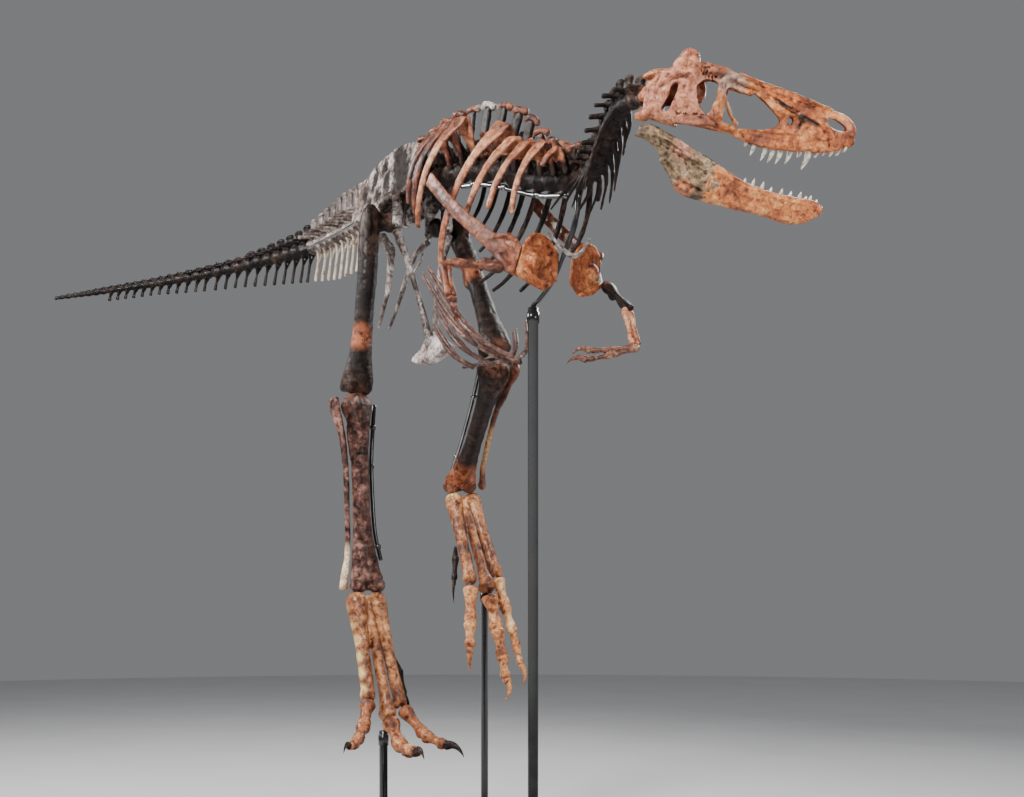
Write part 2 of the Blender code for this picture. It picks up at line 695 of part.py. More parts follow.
def leg_frame(start, turn, drop, sign, hint):
    """Down the bone, to its front and outwards."""
    down = direction(turn, drop)
    front = (hint - down * down.dot(hint)).normalized()
    out = down.cross(front).normalized()
    if out.y * sign < 0:
        out = -out
    return start, down, front, out


def bone(frame, rows, sides=8, wide=None):
    """Shaft from rows of (distance, front, out, half front, half out)."""
    start, down, front, out = frame
    rings = []
    for d, f, o, rf, ro in rows:
        centre = start + down * d + front * f + out * o
        rings.append(oval(centre, front * rf, out * ro, sides))
    return solid(rings)


def build_leg(name, sign):
    pose = LEG_POSE[name]
    hip = HIPS + Vector((0.0, sign * HIP_SPACING * 0.5, 0.0))
    ahead = Vector((1.0, 0.0, 0.25))
    colour = "dark"

    down = direction(*pose["femur"])
    knee = hip + down * FEMUR
    frame = leg_frame(hip, *pose["femur"], sign, ahead)
    start, down, front, out = frame
    top = hip + out * FEMUR_OFFSET
    lower = (knee - top).normalized()
    front = (ahead - lower * lower.dot(ahead)).normalized()
    out = lower.cross(front)
    out = out if out.y * sign > 0 else -out
    length = (knee - top).length
    thigh = (top, lower, front, out)
    shaft = bone(thigh, ((-0.035, 0.004, 0.004, 0.030, 0.022),
                         (0.000, 0.002, 0.000, 0.048, 0.038),
                         (0.090, 0.004, 0.000, 0.048, 0.046),
                         (0.250, 0.016, 0.000, 0.044, 0.046),
                         (length - 0.200, 0.012, 0.000, 0.044, 0.050),
                         (length - 0.075, 0.006, 0.000, 0.048, 0.070),
                         (length - 0.030, 0.006, 0.000, 0.045, 0.072),
                         (length - 0.012, 0.006, 0.000, 0.030, 0.052)), 7)
    head = rod((top + lower * 0.050, hip - out * 0.020 + lower * 0.010,
                hip - out * 0.044), (0.046, 0.042, 0.024), 6)
    lobes = [bone(thigh, ((length - 0.115, -0.022, o, 0.018, 0.020),
                          (length - 0.018, -0.034, o, 0.026, 0.026)), 5)
             for o in (-0.038, 0.038)]
    place_node("femur_" + name, joined([shaft, head, *lobes]), colour)

    shin = leg_frame(knee, *pose["tibia"], sign, ahead if sign < 0 else
                     Vector((0.5, 0.0, -1.0)))
    rows = ((0.010, -0.004, 0.0, 0.046, 0.062), (0.040, 0.000, 0.0, 0.062, 0.072),
            (0.110, 0.012, 0.0, 0.056, 0.052), (0.230, 0.010, 0.0, 0.042, 0.042),
            (0.560, 0.000, 0.0, 0.036, 0.042), (0.720, 0.000, -0.006, 0.038, 0.060),
            (0.800, 0.004, -0.010, 0.042, 0.080), (0.838, 0.008, -0.010, 0.038, 0.080))
    crest = ((0.012, 0.050, 0.014, 0.014, 0.012), (0.050, 0.068, 0.014, 0.022, 0.014),
             (0.150, 0.046, 0.008, 0.014, 0.012))
    begin = pose["knee"]

    def shifted(rows):
        """Rows moved so that the first ones clear the knee."""
        share = (0.838 - begin) / 0.828
        return [(begin + (row[0] - 0.010) * share, *row[1:]) for row in rows]

    place_node("tibia_" + name,
               joined([bone(shin, shifted(rows), 7), bone(shin, shifted(crest), 5)]),
               colour)
    rows = ((0.012, -0.012, 0.098, 0.042, 0.018), (0.060, -0.010, 0.095, 0.040, 0.018),
            (0.160, -0.002, 0.074, 0.024, 0.014), (0.400, 0.004, 0.064, 0.014, 0.013),
            (0.660, 0.010, 0.074, 0.014, 0.014), (0.790, 0.006, 0.097, 0.022, 0.016),
            (0.836, 0.004, 0.098, 0.026, 0.017))
    place_node("fibula_" + name, bone(shin, shifted(rows), 5), colour)

    ankle = shin[0] + shin[1] * TIBIA
    foot = leg_frame(ankle, *pose["foot"], sign, Vector((1.0, 0.0, 1.0)))
    bones = []
    for digit, top_out, f, near, middle, end in (
            (2, -0.044, 0.0, (0.046, 0.038), (0.028, 0.027), (0.036, 0.031)),
            (3, 0.000, 0.010, (0.024, 0.016), (0.028, 0.022), (0.042, 0.036)),
            (4, 0.044, 0.0, (0.050, 0.042), (0.030, 0.029), (0.036, 0.031))):
        reach, low_out = REACH[digit], LOW_OUT[digit]
        rows = []
        for part, size in ((pose["ankle"] / reach, near), (0.13, near), (0.50, middle),
                           (0.90, end),
                           (1.0, (end[0] * 0.7, end[1] * 0.8))):
            where = top_out + (low_out - top_out) * part
            rows.append((part * reach, f, where, *size))
        bones.append(bone(foot, rows, 5))
    place_node("metatarsus_" + name, joined(bones), "tan")
    return foot


TOES = {     # bone lengths and the radius of the first bone
    2: ((0.155, 0.108, 0.112), 0.034),
    3: ((0.150, 0.118, 0.096, 0.101), 0.038),
    4: ((0.125, 0.100, 0.085, 0.078, 0.104), 0.034),
}
TOE_POSE = {     # turn, then the drop of each bone from first to claw
    "right": {2: (24, (40, 16, 16)), 3: (-6, (32, 6, -4, 4)),
              4: (-34, (44, 24, 8, -2, 4))},
    "left": {2: (-35, (84, 86, 88)), 3: (40, (76, 78, 80, 84)),
             4: (42, (74, 72, 74, 76, 80))},
}


def toe(root, turn, drops, lengths, radius):
    """Toe as one row of waisted bones with a curved claw."""
    rings, point = [], root
    for i, (length, drop) in enumerate(zip(lengths, drops)):
        along = direction(turn, drop)
        side = direction(turn + 90, 0)
        upward = along.cross(side)
        r = radius * (1 - 0.12 * i)
        claw = i == len(lengths) - 1
        shape = ((0.45, 0.60, 0.012), (1.0, 0.10, 0.0)) if claw else (
            (0.0, 1.0, 0.0), (0.50, 0.66, 0.0), (0.90, 0.88, 0.0))
        for part, size, lift in shape:
            rings.append(oval(point + along * length * part + upward * lift,
                              upward * r * size, side * r * size, 5))
        point = point + along * length
    return solid(rings)


def build_toes(name, sign, foot):
    start, down, front, out = foot
    for digit, (lengths, radius) in TOES.items():
        turn, drops = TOE_POSE[name][digit]
        root = start + down * REACH[digit] + out * LOW_OUT[digit]
        root = root + front * (0.010 if digit == 3 else 0.0)
        root = root + direction(turn, drops[0]) * (radius * 0.45 + 0.012)
        place_node("toe_%d_%s" % (digit, name),
                   toe(root, turn, drops, lengths, radius), "tan")
    aside, behind = (0.105, 0.030) if sign < 0 else (0.078, 0.056)
    inner = start + down * (REACH[3] * 0.60) - out * aside - front * behind
    turn = 20 if sign < 0 else -35
    body = toe(inner, turn, (72, 78), (0.112, 0.108), 0.016)
    place_node("toe_1_" + name, body, "dark")


# ---------------------------------------------------------------------- stand

def build_stand():
    length, width, thick = BASE
    c = BASE_CHAMFER
    rings = []
    for z, inset in ((0.0, c * 0.5), (c * 0.5, 0.0), (thick - c, 0.0), (thick, c)):
        x, y = length / 2 - inset, width / 2 - inset
        k = 0.05
        loop = ((x, -y + k), (x, y - k), (x - k, y), (-x + k, y), (-x, y - k),
                (-x, -y + k), (-x + k, -y), (x - k, -y))
        rings.append([Vector((px, py, z)) for px, py in loop])
    place_node("stand_base", solid(rings), "steel")
    posts = (("stand_post_chest", CHEST_POST), ("stand_post_left_foot", LEFT_FOOT_POST),
             ("stand_post_right_foot", RIGHT_FOOT_POST))
    for name, (x, y, top, radius) in posts:
        ends = (Vector((x, y, thick + GAP)), Vector((x, y, top)))
        rings = [oval(p, Vector((radius, 0, 0)), Vector((0, radius, 0)), 12)
                 for p in ends]
        place_node(name, solid(rings), "steel")


TUBES = {     # steel bars: radius, then points
    "stand_chest_tube": (0.0085, ((0.550, 0.100, 2.192), (0.595, 0.105, 2.204),
                                  (0.686, 0.110, 2.257), (0.758, 0.120, 2.354),
                                  (0.815, 0.126, 2.440), (0.822, 0.132, 2.540))),
}


SHIN_BARS = {     # along a shin: distance, how far behind and how far inside it
    "right": ((0.030, 0.030, 0.092), (0.130, 0.012, 0.074), (0.300, 0.010, 0.058),
              (0.560, 0.012, 0.060), (0.700, 0.016, 0.084)),
    "left": ((0.040, 0.096, 0.030), (0.150, 0.074, 0.030), (0.300, 0.056, 0.030),
             (0.560, 0.054, 0.030), (0.780, 0.070, 0.030)),
}


def tail_rod():
    """Thin rod along the right side of the first tail vertebrae."""
    points = []
    for place in (0.8, 3.0, 6.0, 9.0, 11.5):
        point, forward, left, up = station(TAIL, place)
        r = at(TAIL_RADIUS, place)
        points.append(point - left * (r + 0.011) - up * 0.012)
    return rod(points, [0.0065] * len(points), 6)


def spine_tube():
    """Bar that carries the chest vertebrae from below."""
    points = []
    for place in (9.0, 11.0, 13.0, 15.0, 17.0):
        point, forward, left, up = station(FRONT, place)
        points.append(point - up * (at(CENTRUM_RADIUS, place) + 0.014))
    return rod(points, [TUBE_RADIUS] * len(points), 6)


def leg_bars(name, sign):
    """Bars bent along the back of the thigh and the shin."""
    pose = LEG_POSE[name]
    hip = HIPS + Vector((0.0, sign * HIP_SPACING * 0.5, 0.0))
    knee = hip + direction(*pose["femur"]) * FEMUR
    _, down, front, out = leg_frame(knee, *pose["tibia"], sign,
                                    Vector((1.0, 0.0, 0.25)) if sign < 0 else
                                    Vector((0.5, 0.0, -1.0)))
    path = [knee + down * d - front * f - out * o for d, f, o in SHIN_BARS[name]]
    return rod(path, [TUBE_RADIUS] * len(path), 6)


def build_bars():
    for name, (radius, points) in TUBES.items():
        place_node(name, rod(points, [radius] * len(points), 6), "steel")
    place_node("stand_spine_tube", spine_tube(), "steel")
    place_node("stand_tail_rod", tail_rod(), "steel")
    for name, sign in SIDES.items():
        place_node("stand_shin_bar_" + name, leg_bars(name, sign), "steel")


def build():
    build_neck()
    build_back()
    build_sacrum()
    build_tail()
    build_rib_cages()
    build_gastralia()
    build_skull()
    build_jaws()
    build_shoulders()
    build_arms()
    build_pelvis()
    for name, sign in SIDES.items():
        build_toes(name, sign, build_leg(name, sign))
    build_stand()
    build_bars()


clear_scene()
SKELETON = bpy.data.collections.new("mounted_tyrannosaur_skeleton")
bpy.context.scene.collection.children.link(SKELETON)
build()
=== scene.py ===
"""Looks of the mounted tyrannosaur skeleton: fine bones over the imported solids.

Metres, +Z up; mm() marks numbers written in millimetres. +X is the way the hips
face, +Y is the animal's left. The named sizes are the ones that the solids are
built from.
"""

import math

import bmesh
import bpy
import numpy as np
from mathutils import Matrix, Vector, noise


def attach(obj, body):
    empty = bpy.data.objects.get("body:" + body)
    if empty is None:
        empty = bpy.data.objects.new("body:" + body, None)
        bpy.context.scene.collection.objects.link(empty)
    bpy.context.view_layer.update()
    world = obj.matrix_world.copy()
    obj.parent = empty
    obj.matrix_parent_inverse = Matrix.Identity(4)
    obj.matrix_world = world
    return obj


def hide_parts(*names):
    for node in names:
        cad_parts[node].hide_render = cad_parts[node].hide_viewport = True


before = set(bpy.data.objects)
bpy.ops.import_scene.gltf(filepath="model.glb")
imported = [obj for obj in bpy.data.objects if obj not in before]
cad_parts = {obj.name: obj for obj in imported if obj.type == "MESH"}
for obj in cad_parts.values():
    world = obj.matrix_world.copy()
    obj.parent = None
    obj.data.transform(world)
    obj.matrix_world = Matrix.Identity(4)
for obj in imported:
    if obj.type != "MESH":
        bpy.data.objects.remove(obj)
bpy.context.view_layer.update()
COARSE = 1.05

def mm(*values):
    """Nested numbers in millimetres, as metres."""
    return tuple(mm(*v) if isinstance(v, tuple) else v / 1000 for v in values)


UP = Vector((0.0, 0.0, 1.0))
SIDES = {"right": -1.0, "left": 1.0}

# The same landmarks as the solids
BASE = (1.90, 1.10, 0.025)
POSTS = {"chest": mm(550, 100, 2180, 20),         # x, y, top, radius
         "left_foot": mm(-290, 318, 1114, 16),
         "right_foot": mm(-85, -250, 530, 17.5)}
HIPS = Vector((-0.300, -0.020, 2.690))
HIP_SPACING = 0.260
SACRUM_REAR = Vector((-0.690, -0.030, 2.822))
SACRAL, DORSAL, CERVICAL, CAUDAL = 5, 13, 10, 41
SACRAL_LENGTH, DORSAL_LENGTH, CERVICAL_LENGTH = 0.094, 0.0845, 0.0605
FRONT_BEND = ((0, 0, 0), (5, 6, 0), (9, 10, -7), (13, 12.5, -24), (16, 9, -14), (18, 2, -3),
    (20, -12, 8), (22, -17, 32), (24, -17, 16), (26, -8, -4), (28, 14, -14))
TAIL_BEND = ((0, 0, 0), (6, 1.5, -1.5), (13.5, 11, -3), (22, 18.5, -2.5), (30, 28, -1.5),
    (41, 35.5, 0.5))
CAUDAL_LENGTH = ((0, 0.064), (8, 0.071), (12, 0.088), (16, 0.102), (22, 0.098), (26, 0.080),
    (40, 0.052))
SPINE_HEIGHT = ((0, 0.185), (5, 0.195), (8, 0.245), (11, 0.265), (13, 0.245), (15.5, 0.155),
    (18, 0.120), (22, 0.115), (27, 0.085), (28, 0.06))
CENTRUM_RADIUS = ((0, 0.043), (5, 0.044), (12, 0.040), (18, 0.038), (24, 0.033),
    (28, 0.026))
TAIL_SPINE_HEIGHT = ((0, 0.190), (6, 0.195), (8.5, 0.165), (12.5, 0.105), (17, 0.070),
    (24, 0.044), (34, 0.026), (41, 0.012))
TAIL_RADIUS = ((0, 0.044), (8.5, 0.040), (16, 0.033), (24, 0.025), (34, 0.016), (41, 0.008))
TAIL_PROCESS = ((0.5, 0.072), (2, 0.115), (7, 0.110), (14, 0.065), (18.5, 0.034),
    (25, 0.026))
CHEVRON_LENGTH = ((1.5, 0.165), (6, 0.165), (11.5, 0.125), (18.5, 0.078), (27, 0.040))
RIB_FORM = mm((110, 150, 30, -20), (150, 230, 60, 0), (185, 290, 90, 0),
    (200, 320, 120, 10), (205, 330, 150, 50), (205, 320, 160, 50), (200, 300, 160, 50),
    (190, 260, 150, 55), (175, 215, 130, 45), (160, 190, 110, 30))
RIGHT_KEPT = (0.30, 0.62, 0.50, 0.56, 1.00, 0.00, 0.00, 0.80, 0.80, 0.75)
LEFT_KEPT = (0.60, 0.85, 0.90, 0.95, 1.00, 1.00, 0.95, 0.90, 0.85, 0.75)
SKULL_JOINT = Vector((1.395, 0.040, 2.640))
SKULL_TURN, SKULL_DROP, SKULL_ROLL = 56.0, 10.0, 18.0
JAW_OPENING = 15.0
GIRDLE = Vector((0.700, 0.115, 2.300))
GIRDLE_TURN = 10.0
FEMUR, TIBIA = 0.770, 0.850
THIGH_FRONT = Vector((1.0, 0.0, 0.25))
SHIN_FRONT = {"right": THIGH_FRONT, "left": Vector((0.5, 0.0, -1.0))}
FEMUR_OFFSET = 0.070
LOW_OUT = {2: -0.068, 3: 0.000, 4: 0.068}
REACH = {2: 0.490, 3: 0.540, 4: 0.450}
LEG_POSE = {"right": {"femur": (-101.0, 80.5), "tibia": (4.5, 84.3), "foot": (8.0, 70.0),
    "knee": 0.010, "ankle": 0.012}, "left": {"femur": (5.6, 53.6), "tibia": (167.4, 36.5),
    "foot": (0.3, 59.4), "knee": 0.072, "ankle": 0.048},}
TOES = {2: ((0.155, 0.108, 0.112), 0.034), 3: ((0.150, 0.118, 0.096, 0.101), 0.038),
    4: ((0.125, 0.100, 0.085, 0.078, 0.104), 0.034),}
TOE_POSE = {"right": {2: (24, (40, 16, 16)), 3: (-6, (32, 6, -4, 4)),
    4: (-34, (44, 24, 8, -2, 4))}, "left": {2: (-35, (84, 86, 88)),
    3: (40, (76, 78, 80, 84)), 4: (42, (74, 72, 74, 76, 80))},}


# ------------------------------------------------------------------- directions

def direction(turn, drop):
    turn, drop = math.radians(turn), math.radians(drop)
    level = math.cos(drop)
    return Vector((level * math.cos(turn), level * math.sin(turn), -math.sin(drop)))


def at(knots, place, item=1):
    return float(np.interp(place, [k[0] for k in knots], [k[item] for k in knots]))


def axes(forward, up=UP):
    forward = forward.normalized()
    left = up.cross(forward).normalized()
    return forward, left, forward.cross(left)


# ------------------------------------------------------------------ clay shapes

def smooth(rows, step):
    """Catmull-Rom curve through rows of numbers, about a step apart in x, y, z."""
    rows = np.asarray(rows, float)
    padded = np.vstack([2 * rows[0] - rows[1], rows, 2 * rows[-1] - rows[-2]])
    out = []
    for i in range(len(rows) - 1):
        a, b, c, d = padded[i:i + 4]
        count = max(1, int(math.ceil(np.linalg.norm(c[:3] - b[:3]) / step)))
        for k in range(count):
            t = k / count
            out.append(0.5 * (2 * b + (c - a) * t + (2 * a - 5 * b + 4 * c - d) * t ** 2
                + (3 * b - a - 3 * c + d) * t ** 3))
    out.append(rows[-1])
    return np.array(out)


class Clay:
    """Overlapping closed shapes that become one bone."""

    def __init__(self):
        self.points, self.faces = [], []

    def skin(self, rings):
        base, count = len(self.points), len(rings[0])
        for ring in rings:
            self.points.extend(tuple(p) for p in ring)
        for k in range(len(rings) - 1):
            low = base + k * count
            for i in range(count):
                j = (i + 1) % count
                self.faces.append((low + i, low + j, low + count + j, low + count + i))
        self.faces.append(tuple(range(base + count - 1, base - 1, -1)))
        last = base + (len(rings) - 1) * count
        self.faces.append(tuple(range(last, last + count)))

    def tube(self, points, radii, wide=None, sides=14, dome=0.6, step=0.012, square=2.0):
        """Rounded rod. A radius is a number, or a pair whose first half lies along
        the direction `wide`; square above 2 makes the section boxier."""
        rows = [(*p, *(r if isinstance(r, tuple) else (r, r))) for p,
            r in zip(points, radii)]
        rows = smooth(rows, step)
        rows[:, 3:] = np.maximum(rows[:, 3:], 0.0006)
        where = rows[:, :3]
        along = np.gradient(where, axis=0)
        along /= np.linalg.norm(along, axis=1)[:, None]
        hint = np.array(wide if wide is not None else (0.0, 0.0, 1.0), float)
        hint /= np.linalg.norm(hint)
        if abs(float(along.mean(axis=0) @ hint)) > 0.97:
            hint = np.array((1.0, 0.2, 0.1)) / 1.0247
        angle = 2 * math.pi * (np.arange(sides) + 0.5) / sides
        power = 2.0 / square
        ca = np.sign(np.cos(angle)) * np.abs(np.cos(angle)) ** power
        sa = np.sign(np.sin(angle)) * np.abs(np.sin(angle)) ** power

        def ring(k, scale, shift):
            t = along[k]
            across = hint - t * (t @ hint)
            across /= np.linalg.norm(across)
            other = np.cross(t, across)
            a, b = rows[k, 3] * scale, rows[k, 4] * scale
            centre = where[k] + t * shift
            return centre + np.outer(ca * a, across) + np.outer(sa * b, other)

        size = dome * min(rows[0, 3], rows[0, 4])
        rings = [ring(0, s, -size * h) for s, h in ((0.42, 1.0), (0.80, 0.66))]
        rings += [ring(k, 1.0, 0.0) for k in range(len(rows))]
        size = dome * min(rows[-1, 3], rows[-1, 4])
        rings += [ring(-1, s, size * h) for s, h in ((0.80, 0.66), (0.42, 1.0))]
        self.skin(rings)

    def blob(self, centre, sizes, frame_axes, sides=14):
        """Egg shape with half sizes along three axes."""
        f, l, u = (np.array(v) for v in frame_axes)
        angle = 2 * math.pi * np.arange(sides) / sides
        rings = []
        for k in range(1, 9):
            t = math.pi * k / 9
            r, d = math.sin(t), -math.cos(t)
            rings.append(np.array(centre) + f * sizes[0] * d + np.outer(np.cos(angle) * r
                * sizes[1], l) + np.outer(np.sin(angle) * r * sizes[2], u))
        self.skin(rings)

    def slab(self, outline, thick, place, fine=0.014, round_off=0.45):
        """Plate with eased edges; outline is a closed loop of (x, z)."""
        loop = np.array([(x, 0.0, z) for x, z in outline])
        loop = smooth(np.vstack([loop, loop[:1]]), fine)[:-1]
        middle = loop.mean(axis=0)
        rings = []
        for y, inset in ((-1.0, round_off), (-0.55, 0.0), (0.55, 0.0), (1.0, round_off)):
            ring = []
            for p in loop:
                away = middle - p
                q = p + away / max(np.linalg.norm(away), 1e-6) * inset * thick
                ring.append(place(Vector((q[0], y * thick, q[2]))))
            rings.append(ring)
        self.skin(rings)

    def absorb(self, data):
        base = len(self.points)
        self.points.extend(tuple(v.co) for v in data.vertices)
        self.faces.extend(tuple(base + i for i in f.vertices) for f in data.polygons)

    def mesh(self):
        data = bpy.data.meshes.new("clay")
        data.from_pydata(self.points, [], self.faces)
        tool = bmesh.new()
        tool.from_mesh(data)
        bmesh.ops.triangulate(tool, faces=[f for f in tool.faces if len(f.verts) > 4])
        bmesh.ops.recalc_face_normals(tool, faces=tool.faces)
        tool.to_mesh(data)
        tool.free()
        return data


def evaluated(data, *steps):
    """The mesh after some modifiers, each (type, settings)."""
    item = bpy.data.objects.new("work", data)
    bpy.context.scene.collection.objects.link(item)
    for kind, settings in steps:
        step = item.modifiers.new("step", kind)
        for key, value in settings.items():
            setattr(step, key, value)
    bpy.context.view_layer.update()
    graph = bpy.context.evaluated_depsgraph_get()
    made = bpy.data.meshes.new_from_object(item.evaluated_get(graph))
    bpy.data.objects.remove(item, do_unlink=True)
    return made


def cut(data, tool_data):
    tool = bpy.data.objects.new("tool", tool_data)
    bpy.context.scene.collection.objects.link(tool)
    made = evaluated(data, ("BOOLEAN", {"operation": "DIFFERENCE", "solver": "EXACT",
        "object": tool}))
    bpy.data.objects.remove(tool, do_unlink=True)
    return made


def remeshed(data, size):
    return evaluated(data, ("REMESH", {"mode": "VOXEL", "voxel_size": size * COARSE}),
        ("SMOOTH", {"factor": 0.5, "iterations": 2}))


def rows_of(data, kind="co"):
    """The mesh's points or normals, one a row."""
    flat = np.empty(len(data.vertices) * 3, "f")
    data.vertices.foreach_get(kind, flat)
    return flat.reshape(-1, 3)


def move_to(data, places):
    data.vertices.foreach_set("co", places.astype("f").ravel())
    data.update()


def weather(data, lump, pit, seed):
    """Uneven, pitted surface of old bone."""
    places, normals = rows_of(data), rows_of(data, "normal")
    shift = Vector((seed * 3.1, seed * 1.7, seed * 2.3))
    move = np.empty(len(places), "f")
    for i, place in enumerate(places.tolist()):
        p = Vector(place)
        high = noise.noise(p * 62.0 + shift)
        move[i] = (lump * noise.noise(p * 21.0 + shift) + 0.45 * lump * high - pit
            * max(0.0, noise.noise(p * 34.0 - shift) - 0.32) * 3.0)
    move_to(data, places + normals * move[:, None])


def piece(name, parts, nodes, slot):
    """One visible piece from parts: (clay or mesh, material, voxel, lump, pit).
    A voxel of 0 keeps the clay's own faces."""
    whole = bmesh.new()
    materials = []
    for number, (clay, material, voxel, lump, pit) in enumerate(parts):
        data = clay.mesh() if isinstance(clay, Clay) else clay
        if voxel:
            data = remeshed(data, voxel)
            weather(data, lump, pit, len(name) + 5 * number)
        if material not in materials:
            materials.append(material)
        index = materials.index(material)
        start = len(whole.faces)
        whole.from_mesh(data)
        whole.faces.ensure_lookup_table()
        for face in whole.faces[start:]:
            face.material_index = index
            face.smooth = True
    data = bpy.data.meshes.new(name)
    whole.to_mesh(data)
    whole.free()
    for material in materials:
        data.materials.append(material)
    item = bpy.data.objects.new(name, data)
    bpy.context.scene.collection.objects.link(item)
    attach(item, "root")
    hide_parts(*nodes)
    return item


# -------------------------------------------------------------------- materials

class Graph:
    """Short way to write a node tree."""

    def __init__(self, name):
        self.material = bpy.data.materials.new(name)
        self.material.use_nodes = True
        self.tree = self.material.node_tree
        self.shader = self.tree.nodes["Principled BSDF"]
        self.spot = self.node("ShaderNodeTexCoord").outputs["Object"]

    def node(self, kind, inputs=None, **settings):
        made = self.tree.nodes.new(kind)
        for key, value in settings.items():
            setattr(made, key, value)
        for key, value in (inputs or {}).items():
            if isinstance(value, bpy.types.NodeSocket):
                self.tree.links.new(value, made.inputs[key])
            else:
                made.inputs[key].default_value = value
        return made

    def ramp(self, value, stops):
        made = self.node("ShaderNodeValToRGB", {0: value})
        points = made.color_ramp.elements
        while len(points) < len(stops):
            points.new(0.5)
        for point, (place, colour) in zip(points, stops):
            point.position = place
            point.color = (*colour, 1.0)
        return made.outputs["Color"]

    def mix(self, factor, one, two, blend="MIX"):
        made = self.node("ShaderNodeMix", data_type="RGBA", blend_type=blend)
        for socket, value in ((made.inputs[0], factor), (made.inputs[6], one),
                (made.inputs[7], two)):
            if isinstance(value, bpy.types.NodeSocket):
                self.tree.links.new(value, socket)
            elif socket.type == "RGBA":
                socket.default_value = (*value, 1.0)
            else:
                socket.default_value = value
        return made.outputs[2]

    def maths(self, kind, one, two, clamp=False):
        made = self.node("ShaderNodeMath", {0: one, 1: two}, operation=kind)
        made.use_clamp = clamp
        return made.outputs[0]

    def link(self, output, name):
        self.tree.links.new(output, self.shader.inputs[name])

    def noise(self, scale, detail, **more):
        return self.node("ShaderNodeTexNoise", {"Vector": self.spot, "Scale": scale,
            "Detail": detail, **more})

    def spread(self, value, low, high, first, last):
        """The value between low and high, mapped to first and last."""
        made = self.node("ShaderNodeMapRange", {"Value": value, "From Min": low,
            "From Max": high, "To Min": first, "To Max": last})
        return made.outputs[0]

    def relief(self, height, strength, distance):
        made = self.node("ShaderNodeBump", {"Height": height, "Strength": strength,
            "Distance": distance})
        self.link(made.outputs[0], "Normal")


def fossil(name, dark, middle, light, pale, scale=1.0, gloss=0.36, coat=None, patches=(),
        cracks=0.75, tone=0.0):
    """Varnished fossil bone. A patch is (centre, radius, colour, strength)."""
    g = Graph(name)
    big = g.noise(7.0 * scale, 3.0, Roughness=0.6)
    mid = g.noise(34.0 * scale, 8.0, Roughness=0.68, Distortion=0.5)
    fine = g.noise(210.0, 5.0, Roughness=0.7)
    blend = g.maths("ADD", g.maths("MULTIPLY", big.outputs[0], 0.48),
        g.maths("MULTIPLY", mid.outputs[0], 0.52))
    blend = g.maths("ADD", blend, tone)
    colour = g.ramp(blend, ((0.37, dark), (0.46, middle), (0.54, light), (0.64, pale)))
    for centre, radius, tint, strength in patches:
        away = g.node("ShaderNodeVectorMath", {0: g.spot, 1: centre}, operation="DISTANCE")
        wobble = g.maths("MULTIPLY", mid.outputs[0], radius * 0.9)
        reach = g.maths("ADD", away.outputs["Value"], wobble)
        mask = g.spread(reach, radius * 1.10, radius * 1.65, strength, 0.0)
        worn = g.spread(mid.outputs[0], 0.36, 0.58, 1.0, 0.0)
        shade = g.mix(worn, tint, tuple(c * c * 0.45 for c in tint))
        colour = g.mix(mask, colour, shade)
    bent = g.node("ShaderNodeVectorMath", {0: mid.outputs["Color"], 1: (0.070,) * 3},
        operation="MULTIPLY")
    bent = g.node("ShaderNodeVectorMath", {0: g.spot, 1: bent.outputs[0]}, operation="ADD")
    cells = g.node("ShaderNodeTexVoronoi", {"Vector": bent.outputs[0], "Scale": 26.0
        * scale}, feature="DISTANCE_TO_EDGE")
    line = g.spread(cells.outputs["Distance"], 0.002, 0.030, 1.0, 0.0)
    worn = g.maths("MULTIPLY", line, g.maths("GREATER_THAN", big.outputs[0], 0.50))
    colour = g.mix(g.maths("MULTIPLY", worn, cracks), colour, tuple(c * 0.30 for c in dark))
    hollow = g.spread(mid.outputs[0], 0.30, 0.43, 0.85, 0.0)
    colour = g.mix(hollow, colour, tuple(c * 0.55 for c in dark))
    specks = g.spread(fine.outputs[0], 0.60, 0.74, 0.0, 0.55)
    colour = g.mix(specks, colour, tuple(c * 0.5 for c in dark))
    g.link(colour, "Base Color")
    rough = g.spread(mid.outputs[0], 0.3, 0.7, gloss - 0.10, gloss + 0.18)
    g.link(rough, "Roughness")
    height = g.maths("SUBTRACT", g.maths("ADD", g.maths("MULTIPLY", mid.outputs[0], 0.9),
        g.maths("MULTIPLY", fine.outputs[0], 0.28)), g.maths("MULTIPLY", worn, 0.30))
    g.relief(height, 0.75, 0.009)
    black = middle[0] < 0.03
    if coat is None:
        coat = 0.05 if black else 0.16
    g.shader.inputs["Coat Weight"].default_value = coat
    g.shader.inputs["Coat Roughness"].default_value = 0.14
    g.shader.inputs["Specular IOR Level"].default_value = 0.14 if coat < 0.1 else 0.32
    return g.material


def enamel(name, pale):
    g = Graph(name)
    mid = g.noise(70.0, 4.0)
    g.link(g.ramp(mid.outputs[0], ((0.35, tuple(c * 0.42 for c in pale)), (0.6, pale))),
        "Base Color")
    g.relief(mid.outputs[0], 0.2, 0.001)
    g.shader.inputs["Roughness"].default_value = 0.24
    g.shader.inputs["Coat Weight"].default_value = 0.5
    return g.material


def steel(name, tones, rough, grain, bump, painted):
    """Steel between two (place, tone) stops and two roughnesses. The grain is
    (scale, detail) of the wide and the fine noise, the bump (strength, distance)."""
    g = Graph(name)
    wide, fine = (g.noise(scale, detail) for scale, detail in grain)
    g.link(g.ramp(wide.outputs[0], [(stop, (tone,) * 3) for stop, tone in tones]),
        "Base Color")
    spread = g.spread(wide.outputs[0], 0.3, 0.7, rough[0], rough[1])
    g.link(spread, "Roughness")
    g.relief(fine.outputs[0], bump[0], bump[1])
    g.shader.inputs["Metallic"].default_value = 0.0 if painted else 1.0
    if painted:
        g.shader.inputs["Coat Weight"].default_value = 0.35
        g.shader.inputs["Coat Roughness"].default_value = 0.10
    return g.material


